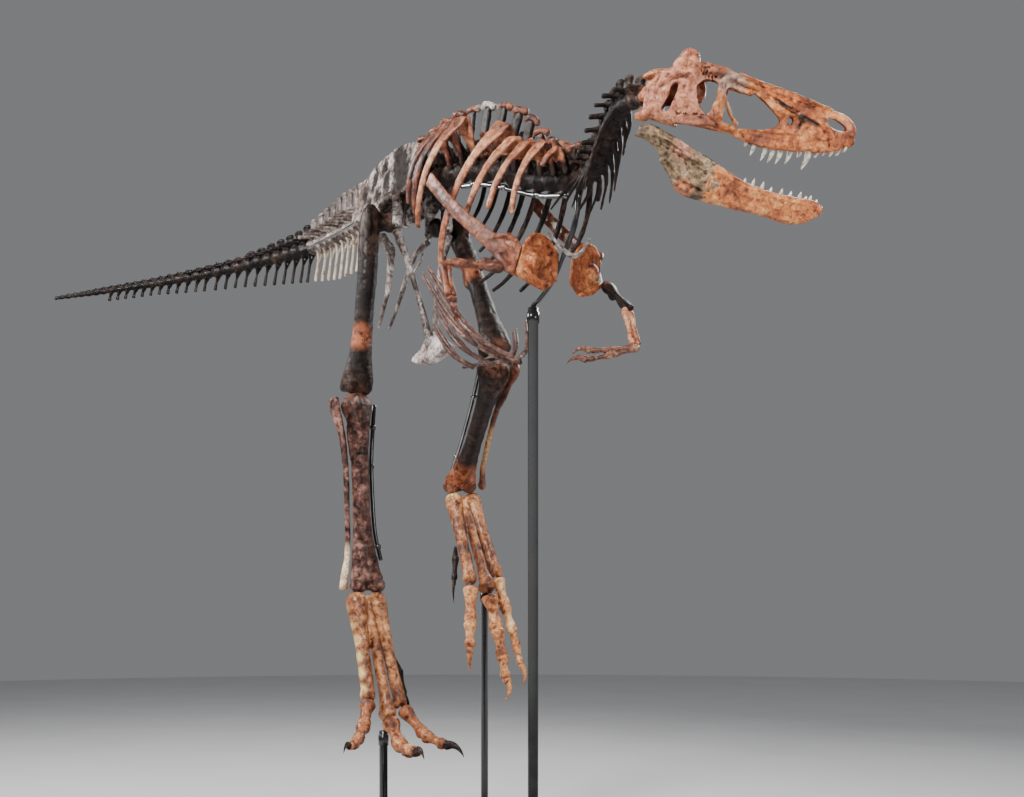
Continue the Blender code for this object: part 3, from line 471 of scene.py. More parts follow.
def painted_steel(name, shade, rough):
    return steel(name, ((0.3, shade * 0.7), (0.75, shade * 1.7)),
        (rough - 0.06, rough + 0.10), ((9.0, 6.0), (420.0, 2.0)), (0.12, 0.0006), True)


def bare_steel(name, low=0.20, high=0.36):
    return steel(name, ((0.3, low), (0.7, high)), (0.16, 0.30), ((14.0, 6.0), (300.0, 3.0)),
        (0.10, 0.0004), False)


# ------------------------------------------------------------------ the palettes

DARK = ((0.003, 0.0018, 0.0015), (0.009, 0.0055, 0.0042), (0.026, 0.014, 0.010),
    (0.095, 0.052, 0.037))
SHIN = ((0.004, 0.002, 0.0016), (0.022, 0.009, 0.007), (0.100, 0.042, 0.031),
    (0.360, 0.190, 0.145))
RIBS = ((0.045, 0.012, 0.006), (0.240, 0.072, 0.032), (0.500, 0.190, 0.090),
    (0.740, 0.430, 0.260))
RUST = ((0.012, 0.003, 0.0015), (0.075, 0.018, 0.008), (0.220, 0.064, 0.029),
    (0.460, 0.190, 0.100))
PALE = ((0.020, 0.011, 0.009), (0.150, 0.105, 0.088), (0.500, 0.430, 0.385),
    (0.840, 0.790, 0.740))
CREAM = ((0.170, 0.110, 0.070), (0.380, 0.285, 0.205), (0.540, 0.440, 0.335),
    (0.690, 0.605, 0.490))


# ------------------------------------------------------------------- backbone

def front_joints():
    point, joints = SACRUM_REAR.copy(), [(SACRUM_REAR.copy(), direction(0, 0))]
    lengths = ([SACRAL_LENGTH] * SACRAL + [DORSAL_LENGTH] * DORSAL + [CERVICAL_LENGTH]
        * CERVICAL)
    for i, length in enumerate(lengths):
        turn, climb = at(FRONT_BEND, i + 0.5), at(FRONT_BEND, i + 0.5, 2)
        if i < SACRAL:
            turn, climb = 0.0, 0.0
        point = point + direction(turn, -climb) * length
        joints.append((point.copy(), direction(at(FRONT_BEND, i + 1), -at(FRONT_BEND, i + 1,
            2))))
    return joints


def tail_joints():
    point, joints = SACRUM_REAR.copy(), [(SACRUM_REAR.copy(), direction(0, 0))]
    for i in range(CAUDAL):
        turn, climb = at(TAIL_BEND, i + 0.5), at(TAIL_BEND, i + 0.5, 2)
        point = point - direction(turn, -climb) * at(CAUDAL_LENGTH, i)
        joints.append((point.copy(), direction(at(TAIL_BEND, i + 1), -at(TAIL_BEND, i + 1,
            2))))
    return joints


FRONT, TAIL = front_joints(), tail_joints()


def station(joints, place):
    low = min(int(place), len(joints) - 2)
    part = place - low
    point = joints[low][0].lerp(joints[low + 1][0], part)
    return (point, *axes(joints[low][1].lerp(joints[low + 1][1], part)))


def local(place):
    """Function from (forward, left, up) beside a station to the model."""
    point, forward, left, up = place
    return lambda x, y, z: point + forward * x + left * y + up * z


def vertebra(clay, spines, joints, i, radius, height, reach=0.0, rise=0.0, slant=0.02):
    """Centrum, arch, joint processes and spine of one vertebra."""
    place = station(joints, i + 0.5)
    forward, up = place[1], place[3]
    spot = local(place)
    half = 0.5 * (joints[i + 1][0] - joints[i][0]).length
    r = at(radius, i + 0.5)
    top = max(at(height, i + 0.5), r * 1.3 + 0.02)
    clay.tube([spot(half * x, 0, r * z) for x, z in ((-0.94, 0.0), (-0.66, 0.0),
        (0.0, 0.05), (0.66, 0.0), (0.94, 0.0))],
        [(r * k, r * k * 0.97) for k in (1.07, 0.97, 0.76, 0.97, 1.07)], wide=up, sides=20,
        dome=0.06, step=0.008)
    clay.tube([spot(-half * 0.66, 0, r * 1.18), spot(0.0, 0, r * 1.05),
        spot(half * 0.62, 0, r * 1.12)], [(r * 0.44, r * 0.50), (r * 0.52, r * 0.42),
        (r * 0.40, r * 0.50)], wide=up, dome=0.4)
    for side in (-1, 1):
        clay.tube([spot(half * 0.35, side * r * 0.36, r * 1.18),
            spot(half * 1.04, side * r * 0.56, r * 1.40)], [r * 0.26, r * 0.22])
        clay.tube([spot(-half * 0.35, side * r * 0.26, r * 1.42),
            spot(-half * 0.98, side * r * 0.44, r * 1.66)], [r * 0.25, r * 0.19])
        if reach:
            clay.tube([spot(0, side * r * 0.35, r * 1.15),
                spot(-slant * 0.4, side * (r * 0.3 + reach) * 0.55, r * 1.10 + rise * 0.6),
                spot(-slant * 0.6, side * reach, r * 0.97 + rise)], [(half * 0.52, 0.013),
                (half * 0.36, 0.008), (half * 0.30, 0.009)], wide=forward)
    low = r * 1.15
    if top - low > 0.03:
        lean = slant
        spines.slab([(half * 0.52, low), (-half * 0.56, low), (-half * 0.50 - lean * 0.6,
            low + (top - low) * 0.55), (-half * 0.66 - lean, top - 0.010),
            (-half * 0.3 - lean, top), (half * 0.50 - lean, top - 0.004),
            (half * 0.36 - lean * 0.5, low + (top - low) * 0.5)], 0.0080,
            lambda p: spot(p.x, p.y, p.z), fine=0.010)
        spines.tube([spot(half * 0.46 - lean, 0, top - 0.010), spot(-half * 0.1 - lean, 0,
            top - 0.007), spot(-half * 0.62 - lean, 0, top - 0.014)],
            [(0.011, 0.011), (0.010, 0.013), (0.012, 0.010)], wide=up)
        spines.tube([spot(-half * 0.56, 0, low + 0.01), spot(-half * 0.62 - lean * 0.8, 0,
            low + (top - low) * 0.85)], [(0.006, 0.010), (0.006, 0.008)], wide=forward)


def neck_process(place):
    return 0.052 + 0.018 * math.sin(math.pi * (place - 18) / 10)


def make_neck():
    bone, spines = Clay(), Clay()
    for i in range(18, 28):
        vertebra(bone, spines, FRONT, i, CENTRUM_RADIUS, SPINE_HEIGHT,
            neck_process(i + 0.5), 0.004, 0.010)
    for i in range(18, 26):
        point, forward, left, up = station(FRONT, i + 0.55)
        r = at(CENTRUM_RADIUS, i)
        reach = 0.16 if i < 24 else 0.10
        for sign in (-1, 1):
            root = point + left * sign * r * 0.70 - up * r * 0.30
            tip = root - forward * reach + left * sign * 0.030 - up * 0.080
            middle = root.lerp(tip, 0.4) + left * sign * 0.010 - up * 0.004
            bone.tube((root + forward * 0.016, root, middle, tip), (0.012, 0.012, 0.0075,
                0.0035))
    skin = fossil("neck_bone", *DARK, scale=1.2)
    piece("neck_bones", [(bone, skin, 0.0036, 0.0018, 0.0016), (spines, skin, 0.0036,
        0.0014, 0.0012)], ["neck"], "fossil_dark")


def make_back():
    bone, spines = Clay(), Clay()
    tips = Clay()
    for i in range(5, 18):
        vertebra(bone, spines, FRONT, i, CENTRUM_RADIUS, SPINE_HEIGHT, 0.088, 0.088, 0.018)
        spot, top = local(station(FRONT, i + 0.5)), at(SPINE_HEIGHT, i + 0.5)
        rough = 0.004 * math.sin(i * 2.3)
        tips.tube([spot(0.024, 0.002, top - 0.014 + rough), spot(0.0, 0, top - 0.008),
            spot(-0.030, -0.003, top - 0.010 - rough), spot(-0.046, 0, top - 0.020)],
            [(0.016, 0.013), (0.013, 0.015), (0.015, 0.014), (0.013, 0.011)],
            wide=(0, 0, 1))
    place = station(FRONT, 11.0)[0]
    skin = fossil("back_bone", *DARK, scale=1.2,
        patches=((tuple(place + Vector((0.05, -0.06, 0.10))), 0.08, (0.22, 0.070, 0.034),
        0.6),))
    white = station(FRONT, 10.4)
    white = white[0] + white[3] * (at(SPINE_HEIGHT, 10.4) - 0.02)
    tops = fossil("back_spine_bone", *RUST, scale=1.8,
        patches=((tuple(white), 0.075, (0.68, 0.60, 0.54), 0.9),))
    piece("back_bones", [(bone, skin, 0.0040, 0.0020, 0.0018), (spines, skin, 0.0038,
        0.0022, 0.0018), (tips, tops, 0.0036, 0.0030, 0.0022)], ["back"], "fossil_dark")


def make_sacrum():
    bone, spines = Clay(), Clay()
    for i in range(5):
        vertebra(bone, spines, FRONT, i, CENTRUM_RADIUS, SPINE_HEIGHT, 0.0, 0.0, 0.0)
        spot = local(station(FRONT, i + 0.5))
        for side in (-1, 1):
            bone.tube([spot(0, side * 0.020, -0.004), spot(0.004, side * 0.056, 0.022),
                spot(0, side * 0.086, 0.026)], [(0.030, 0.026), (0.018, 0.022),
                (0.026, 0.036)], wide=station(FRONT, i + 0.5)[1], dome=0.1)
    spot = local(station(FRONT, 2.5))
    spines.slab([(0.215, 0.05), (-0.215, 0.05), (-0.222, 0.176), (0.0, 0.184),
        (0.222, 0.186)], 0.0075, lambda p: spot(p.x, p.y, p.z))
    skin = fossil("sacrum_bone", *DARK, scale=1.2)
    piece("sacrum_bones", [(bone, skin, 0.0042, 0.0020, 0.0018), (spines, skin, 0.0042,
        0.0022, 0.0018)], ["sacrum"], "fossil_dark")


def chevron(clay, place):
    point, forward, left, up = station(TAIL, place)
    r, length = at(TAIL_RADIUS, place), at(CHEVRON_LENGTH, place)
    spot = local((point, forward, left, up))
    for side in (-1, 1):
        clay.tube([spot(0.006, side * r * 0.42, -r * 0.86), spot(0.002, side * r * 0.24,
            -r * 1.3), spot(-length * 0.10, 0, -r - length * 0.36)],
            [(0.009, 0.006), (0.008, 0.005), (0.009, 0.005)], wide=forward)
    clay.tube([spot(0.004, -r * 0.46, -r * 0.90), spot(0.004, r * 0.46, -r * 0.90)],
        [0.008, 0.008])
    clay.tube([spot(-length * 0.09, 0, -r - length * 0.30), spot(-length * 0.20, 0,
        -r - length * 0.66), spot(-length * 0.30, 0, -r - length)],
        [(0.0105, 0.0055), (0.0120, 0.0055), (0.0150, 0.0060)], wide=forward)


def make_tail():
    pale = fossil("tail_base_bone", (0.020, 0.012, 0.009), (0.085, 0.055, 0.046),
        (0.260, 0.200, 0.170), (0.560, 0.480, 0.420), scale=1.5)
    dark = fossil("tail_bone", *DARK, scale=1.4, tone=-0.04)
    cream = fossil("chevron_bone", *CREAM, scale=1.3)
    for name, first, last, skin, slot in (("tail_base", 0, 11, pale, "fossil_pale"),
            ("tail_middle", 11, 22, dark, "fossil_dark"), ("tail_tip", 22, 41, dark,
            "fossil_dark")):
        bone, spines, hung = Clay(), Clay(), Clay()
        for i in range(first, last):
            vertebra(bone, spines, TAIL, i, TAIL_RADIUS, TAIL_SPINE_HEIGHT,
                at(TAIL_PROCESS, i + 0.5) if i < 24 else 0.0, -0.004, 0.024 if i < 11
                else 0.020)
        for i in range(max(first, 1), min(last, 34)):
            chevron(hung, i + (0.12 if i == first else 0.0))
        size = 0.0036 if last < 23 else 0.0026
        parts = [(bone, skin, size, 0.0018, 0.0016), (hung, cream if first == 0 else skin,
            0.0032, 0.0012, 0.0010)]
        if spines.points:
            parts.append((spines, skin, size, 0.0016, 0.0014))
        piece(name + "_bones", parts, [name], slot)


# ------------------------------------------------------------------- rib cage

def rib(clay, index, sign, kept):
    point, forward, left, up = station(FRONT, 17.5 - index)
    out = left * sign
    half, drop, sweep, lift = RIB_FORM[index]
    fan = {1: 1.7, 4: 2.1, 7: 1.8}.get(index, 1.15) if sign < 0 else 1.2
    path = [point + out * 0.036 + up * 0.022, point + out * 0.062 + up * 0.080]
    radii = [(0.013, 0.011), (0.015, 0.009)]
    thick = 0.0235 if sign < 0 else 0.0190
    steps = max(5, int(kept * 13))
    for i in range(steps):
        part = kept * i / (steps - 1)
        angle = math.radians(28 + 122 * part)
        path.append(point + out * (0.025 + half * math.sin(angle)) + up
            * (0.118 + lift * (1 - part) - drop * 0.88 + drop * math.cos(angle)) - forward
            * (0.012 + sweep * part))
        flare = 1.0 + (fan - 1.0) * math.exp(-(part / 0.16) ** 2)
        radii.append(((thick - 0.0100 * part / kept) * flare, 0.0098 - 0.0034 * part))
    clay.tube(path, radii, wide=forward, sides=16, step=0.010, square=2.4)
    spot = local((point, forward, out, up))
    clay.tube([path[2], spot(-0.010, 0.092, 0.132)], [(0.013, 0.010), (0.012, 0.010)])
    if sign < 0:
        corners = [((p - point).dot(out), (p - point).dot(up)) for p
            in (path[1] - up * 0.014, path[1] + up * 0.006, path[2] + up * 0.004, path[3],
            path[3].lerp(path[4], 0.7) if index != 7 else path[3], path[2].lerp(path[1],
            0.3) - up * 0.042)]
        back_off = (path[2] - point).dot(forward)
        clay.slab(corners, 0.0065, lambda p: point + out * p.x + up * p.z + forward
            * (back_off + p.y), fine=0.014)
    ridge = [p + out * 0.004 + forward * 0.006 for p in path[2:6]]
    clay.tube(ridge, [0.007, 0.007, 0.006, 0.004])


def rib_neck_shade_spot(index):
    """Where the head of a right rib goes down to its vertebra; a dark patch there is
    painted shade.
    """
    point, forward, left, up = station(FRONT, 17.5 - index)
    return point - left * 0.042 + up * 0.030


def make_rib_cages():
    for name, sign, palette, slot in (("right", -1, RIBS, "fossil_orange"),
            ("left", 1, DARK, "fossil_dark")):
        kept = RIGHT_KEPT if sign < 0 else LEFT_KEPT
        front, rear = Clay(), Clay()
        for index, part in enumerate(kept):
            if part:
                rib(rear if index > 7 else front, index, sign, part)
        # The dark patches at the right ribs' necks are painted shade between rib heads and
        # vertebrae.
        skin = fossil("rib_bone_" + name, *palette, scale=1.1,
            patches=[(tuple(rib_neck_shade_spot(index)), 0.036, (0.030, 0.014, 0.010), 0.97) for index
            in range(8)] if sign < 0 else ())
        dark = fossil("rear_rib_bone_" + name, *(RUST if sign < 0 else DARK), tone=-0.04)
        piece("ribs_" + name, [(front, skin, 0.0036, 0.0016, 0.0014),
            (rear, dark, 0.0036, 0.0016, 0.0014)], ["rib_cage_" + name], slot)


def make_gastralia():
    front, rear = Vector((0.500, 0.070, 1.990)), Vector((0.120, 0.015, 2.010))
    clay = Clay()
    clay.tube((front, front.lerp(rear, 0.5), rear), (0.0085, 0.0075, 0.0080))
    for place, right, left in ((0.05, 1.25, 0.62), (0.22, 1.20, 0.45), (0.52, 0.80, 0.0),
            (0.85, 0.55, 0.0)):
        middle = front.lerp(rear, place)
        for sign, reach in ((-1.0, right), (1.0, left)):
            if not reach:
                continue
            run = Vector((-0.240, sign * 0.190, 0.300)) * reach
            bow = Vector((0.020, sign * 0.030, -0.050)) * reach
            clay.tube((middle - run * 0.04, middle + run * 0.5 + bow, middle + run),
                (0.0105, 0.0092, 0.0060))
            if reach > 0.3:
                side = Vector((0.020, 0.0, 0.008))
                clay.tube((middle + run * 0.30 + bow * 0.8 + side * 0.4, middle + run * 0.62
                    + bow * 0.9 + side, middle + run * 1.02 + side),
                    (0.0050, 0.0076, 0.0046))
    skin = fossil("belly_bone", (0.012, 0.0045, 0.0035), (0.060, 0.024, 0.018),
        (0.170, 0.078, 0.056), (0.420, 0.250, 0.185), scale=1.8)
    piece("gastralia_bones", [(clay, skin, 0.0026, 0.0010, 0.0008)], ["gastralia"],
        "fossil_dark")


# ------------------------------------------------------------- skull and jaws

def skull_axes():
    forward = direction(SKULL_TURN, SKULL_DROP)
    tilt = Matrix.Rotation(math.radians(SKULL_ROLL), 3, forward)
    return axes(forward, tilt @ UP)


def skull_place(point):
    forward, left, up = skull_axes()
    return SKULL_JOINT + forward * point.x + left * point.y + up * point.z


def jaw_place(point):
    tilt = Matrix.Rotation(math.radians(JAW_OPENING), 3, "Y")
    return skull_place(tilt @ point + Vector((0.010, 0.0, -0.036)))


SKULL_FORM = mm((0, 105, 0, 62), (40, 136, -8, 90), (110, 174, -16, 106),
    (180, 182, -16, 98), (255, 169, -28, 76), (320, 152, -28, 63), (385, 136, -48, 56),
    (550, 102, -40, 47), (630, 86, -24, 38), (670, 66, -10, 24), (684, 45, 0, 12))
ORBIT = mm((163, 108), (170, 68), (195, 36), (213, 34), (227, 85), (225, 126), (185, 128))
TEMPORAL = mm((62, 24), (86, 26), (104, 104), (84, 100), (76, 64))
ANTORBITAL = mm((258, 10), (262, 118), (296, 120), (350, 108), (432, 50), (434, 28),
    (400, 10), (300, -2))
NARIS = mm((572, 62), (604, 68), (640, 52), (650, 36), (610, 38))
MAXILLARY = mm((456, 44), (470, 56), (482, 46), (474, 32))
UPPER_TEETH = mm((346, 16), (372, 32), (410, 40), (434, 46), (460, 46), (490, 44),
    (520, 20), (548, 56), (574, 20), (595, 16), (618, 20), (640, 20), (658, 14))
LOWER_TEETH = mm((372, 12), (400, 22), (432, 24), (462, 16), (496, 20), (526, 18),
    (556, 22), (576, 12), (590, 16), (612, 12))
JAW_FORM = mm((-12, -12, -34, 76, 8), (20, 16, -30, 77, 13), (70, 14, -42, 77, 13),
    (115, 10, -78, 75, 11), (185, 0, -132, 70, 11), (265, -14, -130, 60, 13),
    (360, -27, -117, 47, 13), (450, -26, -101, 36, 13), (540, -10, -92, 24, 13),
    (600, 4, -68, 15.5, 13.5), (640, -4, -24, 11.5, 10))


def rounded(loop, count):
    """Smooth closed loop of (y, z) points, evenly sampled."""
    loop = np.array([(y, z, 0.0) for y, z in loop])
    rows = smooth(np.vstack([loop, loop[:1]]), 0.006)
    run = np.r_[0, np.cumsum(np.linalg.norm(np.diff(rows, axis=0), axis=1))]
    spots = np.linspace(0, run[-1], count, endpoint=False)
    return [(float(np.interp(s, run, rows[:, 0])), float(np.interp(s, run, rows[:, 1])))
        for s in spots]


def head_rings(rows, ring, step=0.012, count=40):
    """Rings through smoothed rows of a form table."""
    rows = np.array([(r[0], 0.0, 0.0, *r[1:]) for r in rows])
    out = []
    for row in smooth(rows, step):
        out.append([(row[0], y, z) for y, z in rounded(ring(*row[3:]), count)])
    return out


def outer_ring(roof, low, half):
    points = ((0.0, roof), (0.62 * half, roof - 0.006), (half, 0.55 * roof + 0.3 * low),
        (0.90 * half, low), (0.0, low + 0.004))
    return list(points) + [(-y, z) for y, z in reversed(points[1:-1])]


def inner_ring(roof, low, half):
    points = ((0.0, roof), (0.9 * half, roof - 0.01), (half, low))
    return list(points) + [(-y, z) for y, z in reversed(points[1:])]


def skinned(rings, place):
    clay = Clay()
    clay.skin([[place(Vector(p)) for p in ring] for ring in rings])
    return clay.mesh()


def window(outline, place, thick=0.16, middle=0.0):
    clay = Clay()
    loop = smooth([(x, 0.0, z) for x, z in (*outline, outline[0])], 0.009)[:-1]
    clay.skin([[place(Vector((x, middle + y, z))) for x, _, z in loop] for y
        in (-thick, thick)])
    return clay.mesh()


def tooth(clay, place, distance, side, height, length, size, lean):
    """Flattened, backward-curved tooth; it points down for a positive length."""
    spots = []
    for part in (-0.30, 0.0, 0.35, 0.70, 1.0):
        spots.append(place(Vector((distance - lean * part * part, side, height - length
            * part))))
    fore = (place(Vector((1, 0, 0))) - place(Vector((0, 0, 0))))
    clay.tube(spots, [(size * k, size * k * 0.62) for k in (0.95, 1.0, 0.84, 0.50, 0.10)],
        wide=fore, sides=10, step=0.006, dome=0.3)


def cheeks(data, place):
    """The mesh's points, the same along the head's own axes, and those axes."""
    origin = place(Vector((0, 0, 0)))
    basis = np.array([place(Vector(v)) - origin for v in ((1, 0, 0), (0, 1, 0), (0, 0, 1))])
    places = rows_of(data)
    return places, (places - np.array(origin)) @ basis.T, basis


def dent(data, place, pits):
    """Pushes hollows into both cheeks: (distance, height, half sizes, depth)."""
    places, spot, basis = cheeks(data, place)
    facing = (rows_of(data, "normal") @ basis.T)[:, 1] * np.sign(spot[:, 1])
    for x, z, a, b, depth in pits:
        away = ((spot[:, 0] - x) / a) ** 2 + ((spot[:, 2] - z) / b) ** 2
        amount = depth * np.clip(1.0 - away, 0, 1) ** 0.5 * (facing > 0.25)
        places = places - np.outer(amount * np.sign(spot[:, 1]), basis[1])
    move_to(data, places)


def seam_shade(data, place, line, width, tint):
    """Patches of painted shade that darken an open seam groove over both cheeks."""
    spot = cheeks(data, place)[1]
    found = []
    for a, b in zip(line, line[1:]):
        count = max(1, round(math.dist(a, b) / (width * 1.15)))
        for i in range(count):
            x, z = (a[k] + (b[k] - a[k]) * i / count for k in (0, 1))
            near = (np.abs(spot[:, 0] - x) < 0.006) & (np.abs(spot[:, 2] - z) < 0.006)
            for side in (-1, 1):
                wall = spot[near & (spot[:, 1] * side > 0), 1]
                if len(wall):
                    y = side * float(np.abs(wall).max())
                    found.append((tuple(place(Vector((x, y, z)))), width, tint, 0.95))
    return tuple(found)


def groove(data, place, lines, width=0.0042, depth=0.0085):
    """Cuts open seams into both cheeks along lines of (distance, height)."""
    places, spot, basis = cheeks(data, place)
    near = np.full(len(places), 9.0)
    for line in lines:
        for a, b in zip(line, line[1:]):
            a, b = np.array(a), np.array(b)
            run = b - a
            along = np.clip(((spot[:, [0, 2]] - a) @ run) / (run @ run), 0, 1)
            away = np.linalg.norm(spot[:, [0, 2]] - a - np.outer(along, run), axis=1)
            near = np.minimum(near, away)
    wave = 1.0 + 0.35 * np.sin(spot[:, 0] * 260.0)
    amount = depth * wave * np.exp(-(near / width) ** 2)
    move_to(data, places - np.outer(amount * np.sign(spot[:, 1]), basis[1]))


SKULL_BARS = (     # each side, in millimetres: points, half widths, direction
    (((98, 70, 158), (106, 75, 182), (112, 77, 200)), (24, 18, 12.5)),
    (((138, 70, 162), (141, 75, 184), (140, 76, 200)), (22, 17, 12)),
    (((104, 76, 196), (124, 78, 206), (146, 76, 198)), (11, 12.5, 10)),
    (((40, 70, 40), (22, 74, 12), (-8, 76, -4)), (18, 20, 15)),
    (((30, 80, 50), (46, 88, 100), (90, 94, 135), (150, 88, 150)),
     ((14, 9), (12, 9), (14, 10), (20, 12)), "left"),
    (((150, 86, 150), (140, 94, 110), (136, 96, 60), (150, 92, 26)), (18, 13, 12, 10)),
    (((246, 70, 140), (243, 74, 85), (240, 74, 20)), (13, 10.5, 12)),
    (((200, 78, 158), (236, 70, 164), (285, 60, 146), (360, 50, 126)), (12, 14, 11, 7)),
    (((60, 88, 8), (140, 96, 4), (220, 80, 6), (300, 64, -6)),
     ((13, 8), (15, 8), (13, 8), (11, 7)), "up"),
    (((300, 58, -14), (400, 52, -34), (540, 45, -30), (640, 30, -14)),
     ((13, 7), (14, 8), (13, 8), (12, 6)), "up"),
    (((430, 50, 68), (520, 47, 58), (590, 40, 28)), (8, 9, 6)),
    (((100, 30, 12), (200, 34, 0), (300, 26, -10), (420, 20, -16)),
     ((14, 6), (14, 6), (10, 6), (10, 6)), "up"),
    (((250, 52, 100), (262, 44, 74), (284, 40, 34), (304, 44, 12)), (6, 6.5, 5.5, 7)),
    (((262, 60, 122), (290, 57, 117), (336, 55, 108)), (6, 7.5, 5)),
)


def make_skull():
    shell = skinned(head_rings(SKULL_FORM, outer_ring), skull_place)
    hollow = [(d, roof - 0.016, low - 0.03, half - 0.012) for d, roof, low,
        half in SKULL_FORM[2:8]]
    shell = cut(shell, skinned(head_rings(hollow, inner_ring, 0.03, 24), skull_place))
    for outline in (ORBIT, TEMPORAL, ANTORBITAL, NARIS, MAXILLARY):
        shell = cut(shell, window(outline, skull_place))
    bone = Clay()
    bone.absorb(shell)
    forward, left, up = skull_axes()

    def spot(*p):
        return skull_place(Vector(p))

    def bar(points, radii, wide=None):
        bone.tube([spot(*p) for p in points], radii, wide=wide)

    lie = {"left": left, "up": up}
    for s in (-1, 1):
        for points, radii, *wide in SKULL_BARS:
            bar([(x, s * y, z) for x, y, z in mm(*points)], mm(*radii), lie[wide[0]] if wide
                else None)
    bar(mm((70, 0, 140), (20, 0, 132), (-12, 0, 116)), mm((14, 62), (12, 56), (8, 40)), up)
    bar(mm((170, 0, 95), (80, 0, 86), (4, 0, 66)), mm((40, 32), (46, 40), (26, 30)), up)
    bone.blob(spot(-0.006, 0.0, 0.058), (0.017, 0.018, 0.016), (forward, left, up))
    bar(mm((290, 0, 160), (380, 0, 138), (480, 0, 118), (590, 0, 94)), mm((9, 26), (10, 24),
        (10, 21), (7, 14)), up)
    bar(mm((572, 0, 94), (630, 0, 74), (662, 0, 50)), mm((9, 13), (9, 12), (10, 10)), up)
    data = remeshed(bone.mesh(), 0.0032)
    dent(data, skull_place, mm((455, 45, 60, 34, 5.5), (455, 10, 40, 10, -3),
        (180, 10, 50, 12, 4), (112, 60, 20, 45, 4), (550, 30, 30, 20, 3),
        (612, 20, 30, 16, -3), (85, 128, 30, 12, 4.5), (150, 100, 8, 40, 4),
        (40, 80, 14, 30, 5), (250, 60, 6, 30, 3.5), (400, -4, 60, 6, 3),
        (330, 128, 60, 10, 3)))
    groove(data, skull_place, mm(((387, 111), (445, 85), (497, 65), (566, 40)),
        ((471, 82), (496, 68), (508, 42), (498, 14)), ((566, 40), (600, 12), (606, -16)),
        ((300, 150), (420, 116), (540, 92)), ((206, 26), (236, 8), (262, -14)),
        ((150, 164), (176, 144), (200, 150))))
    weather(data, 0.0030, 0.0030, 11)
    teeth = Clay()
    for distance, length in UPPER_TEETH:
        half, low = at(SKULL_FORM, distance, 3) * 0.80, at(SKULL_FORM, distance, 2)
        for s in (-1, 1):
            tooth(teeth, skull_place, distance, s * half, low, length, 0.0058 + 0.06
                * length, length * 0.25)
    # The dark seam patches are painted shade in the cut seam grooves.
    skin = fossil("skull_bone", (0.050, 0.011, 0.004), (0.260, 0.060, 0.015),
        (0.560, 0.170, 0.046), (0.780, 0.380, 0.150), scale=1.5, cracks=0.7,
        patches=seam_shade(data, skull_place, ((0.420, 0.098), (0.497, 0.065), (0.566, 0.040)),
        0.0085, (0.02, 0.008, 0.005)) + seam_shade(data, skull_place,
        ((0.496, 0.066), (0.507, 0.044), (0.500, 0.020)), 0.0080, (0.02, 0.008, 0.005))
        + ((tuple(spot(0.10, -0.08, 0.09)), 0.14, (0.66, 0.290, 0.180), 0.72),
        (tuple(spot(0.62, -0.04, 0.02)), 0.050, (0.46, 0.120, 0.045), 0.6),
        (tuple(spot(0.27, -0.05, 0.13)), 0.050, (0.62, 0.46, 0.36), 0.7)))
    ivory = enamel("upper_tooth_enamel", (0.66, 0.58, 0.47))
    piece("skull_bones", [(data, skin, 0, 0, 0), (teeth, ivory, 0, 0, 0)], ["skull"],
        "fossil_orange")


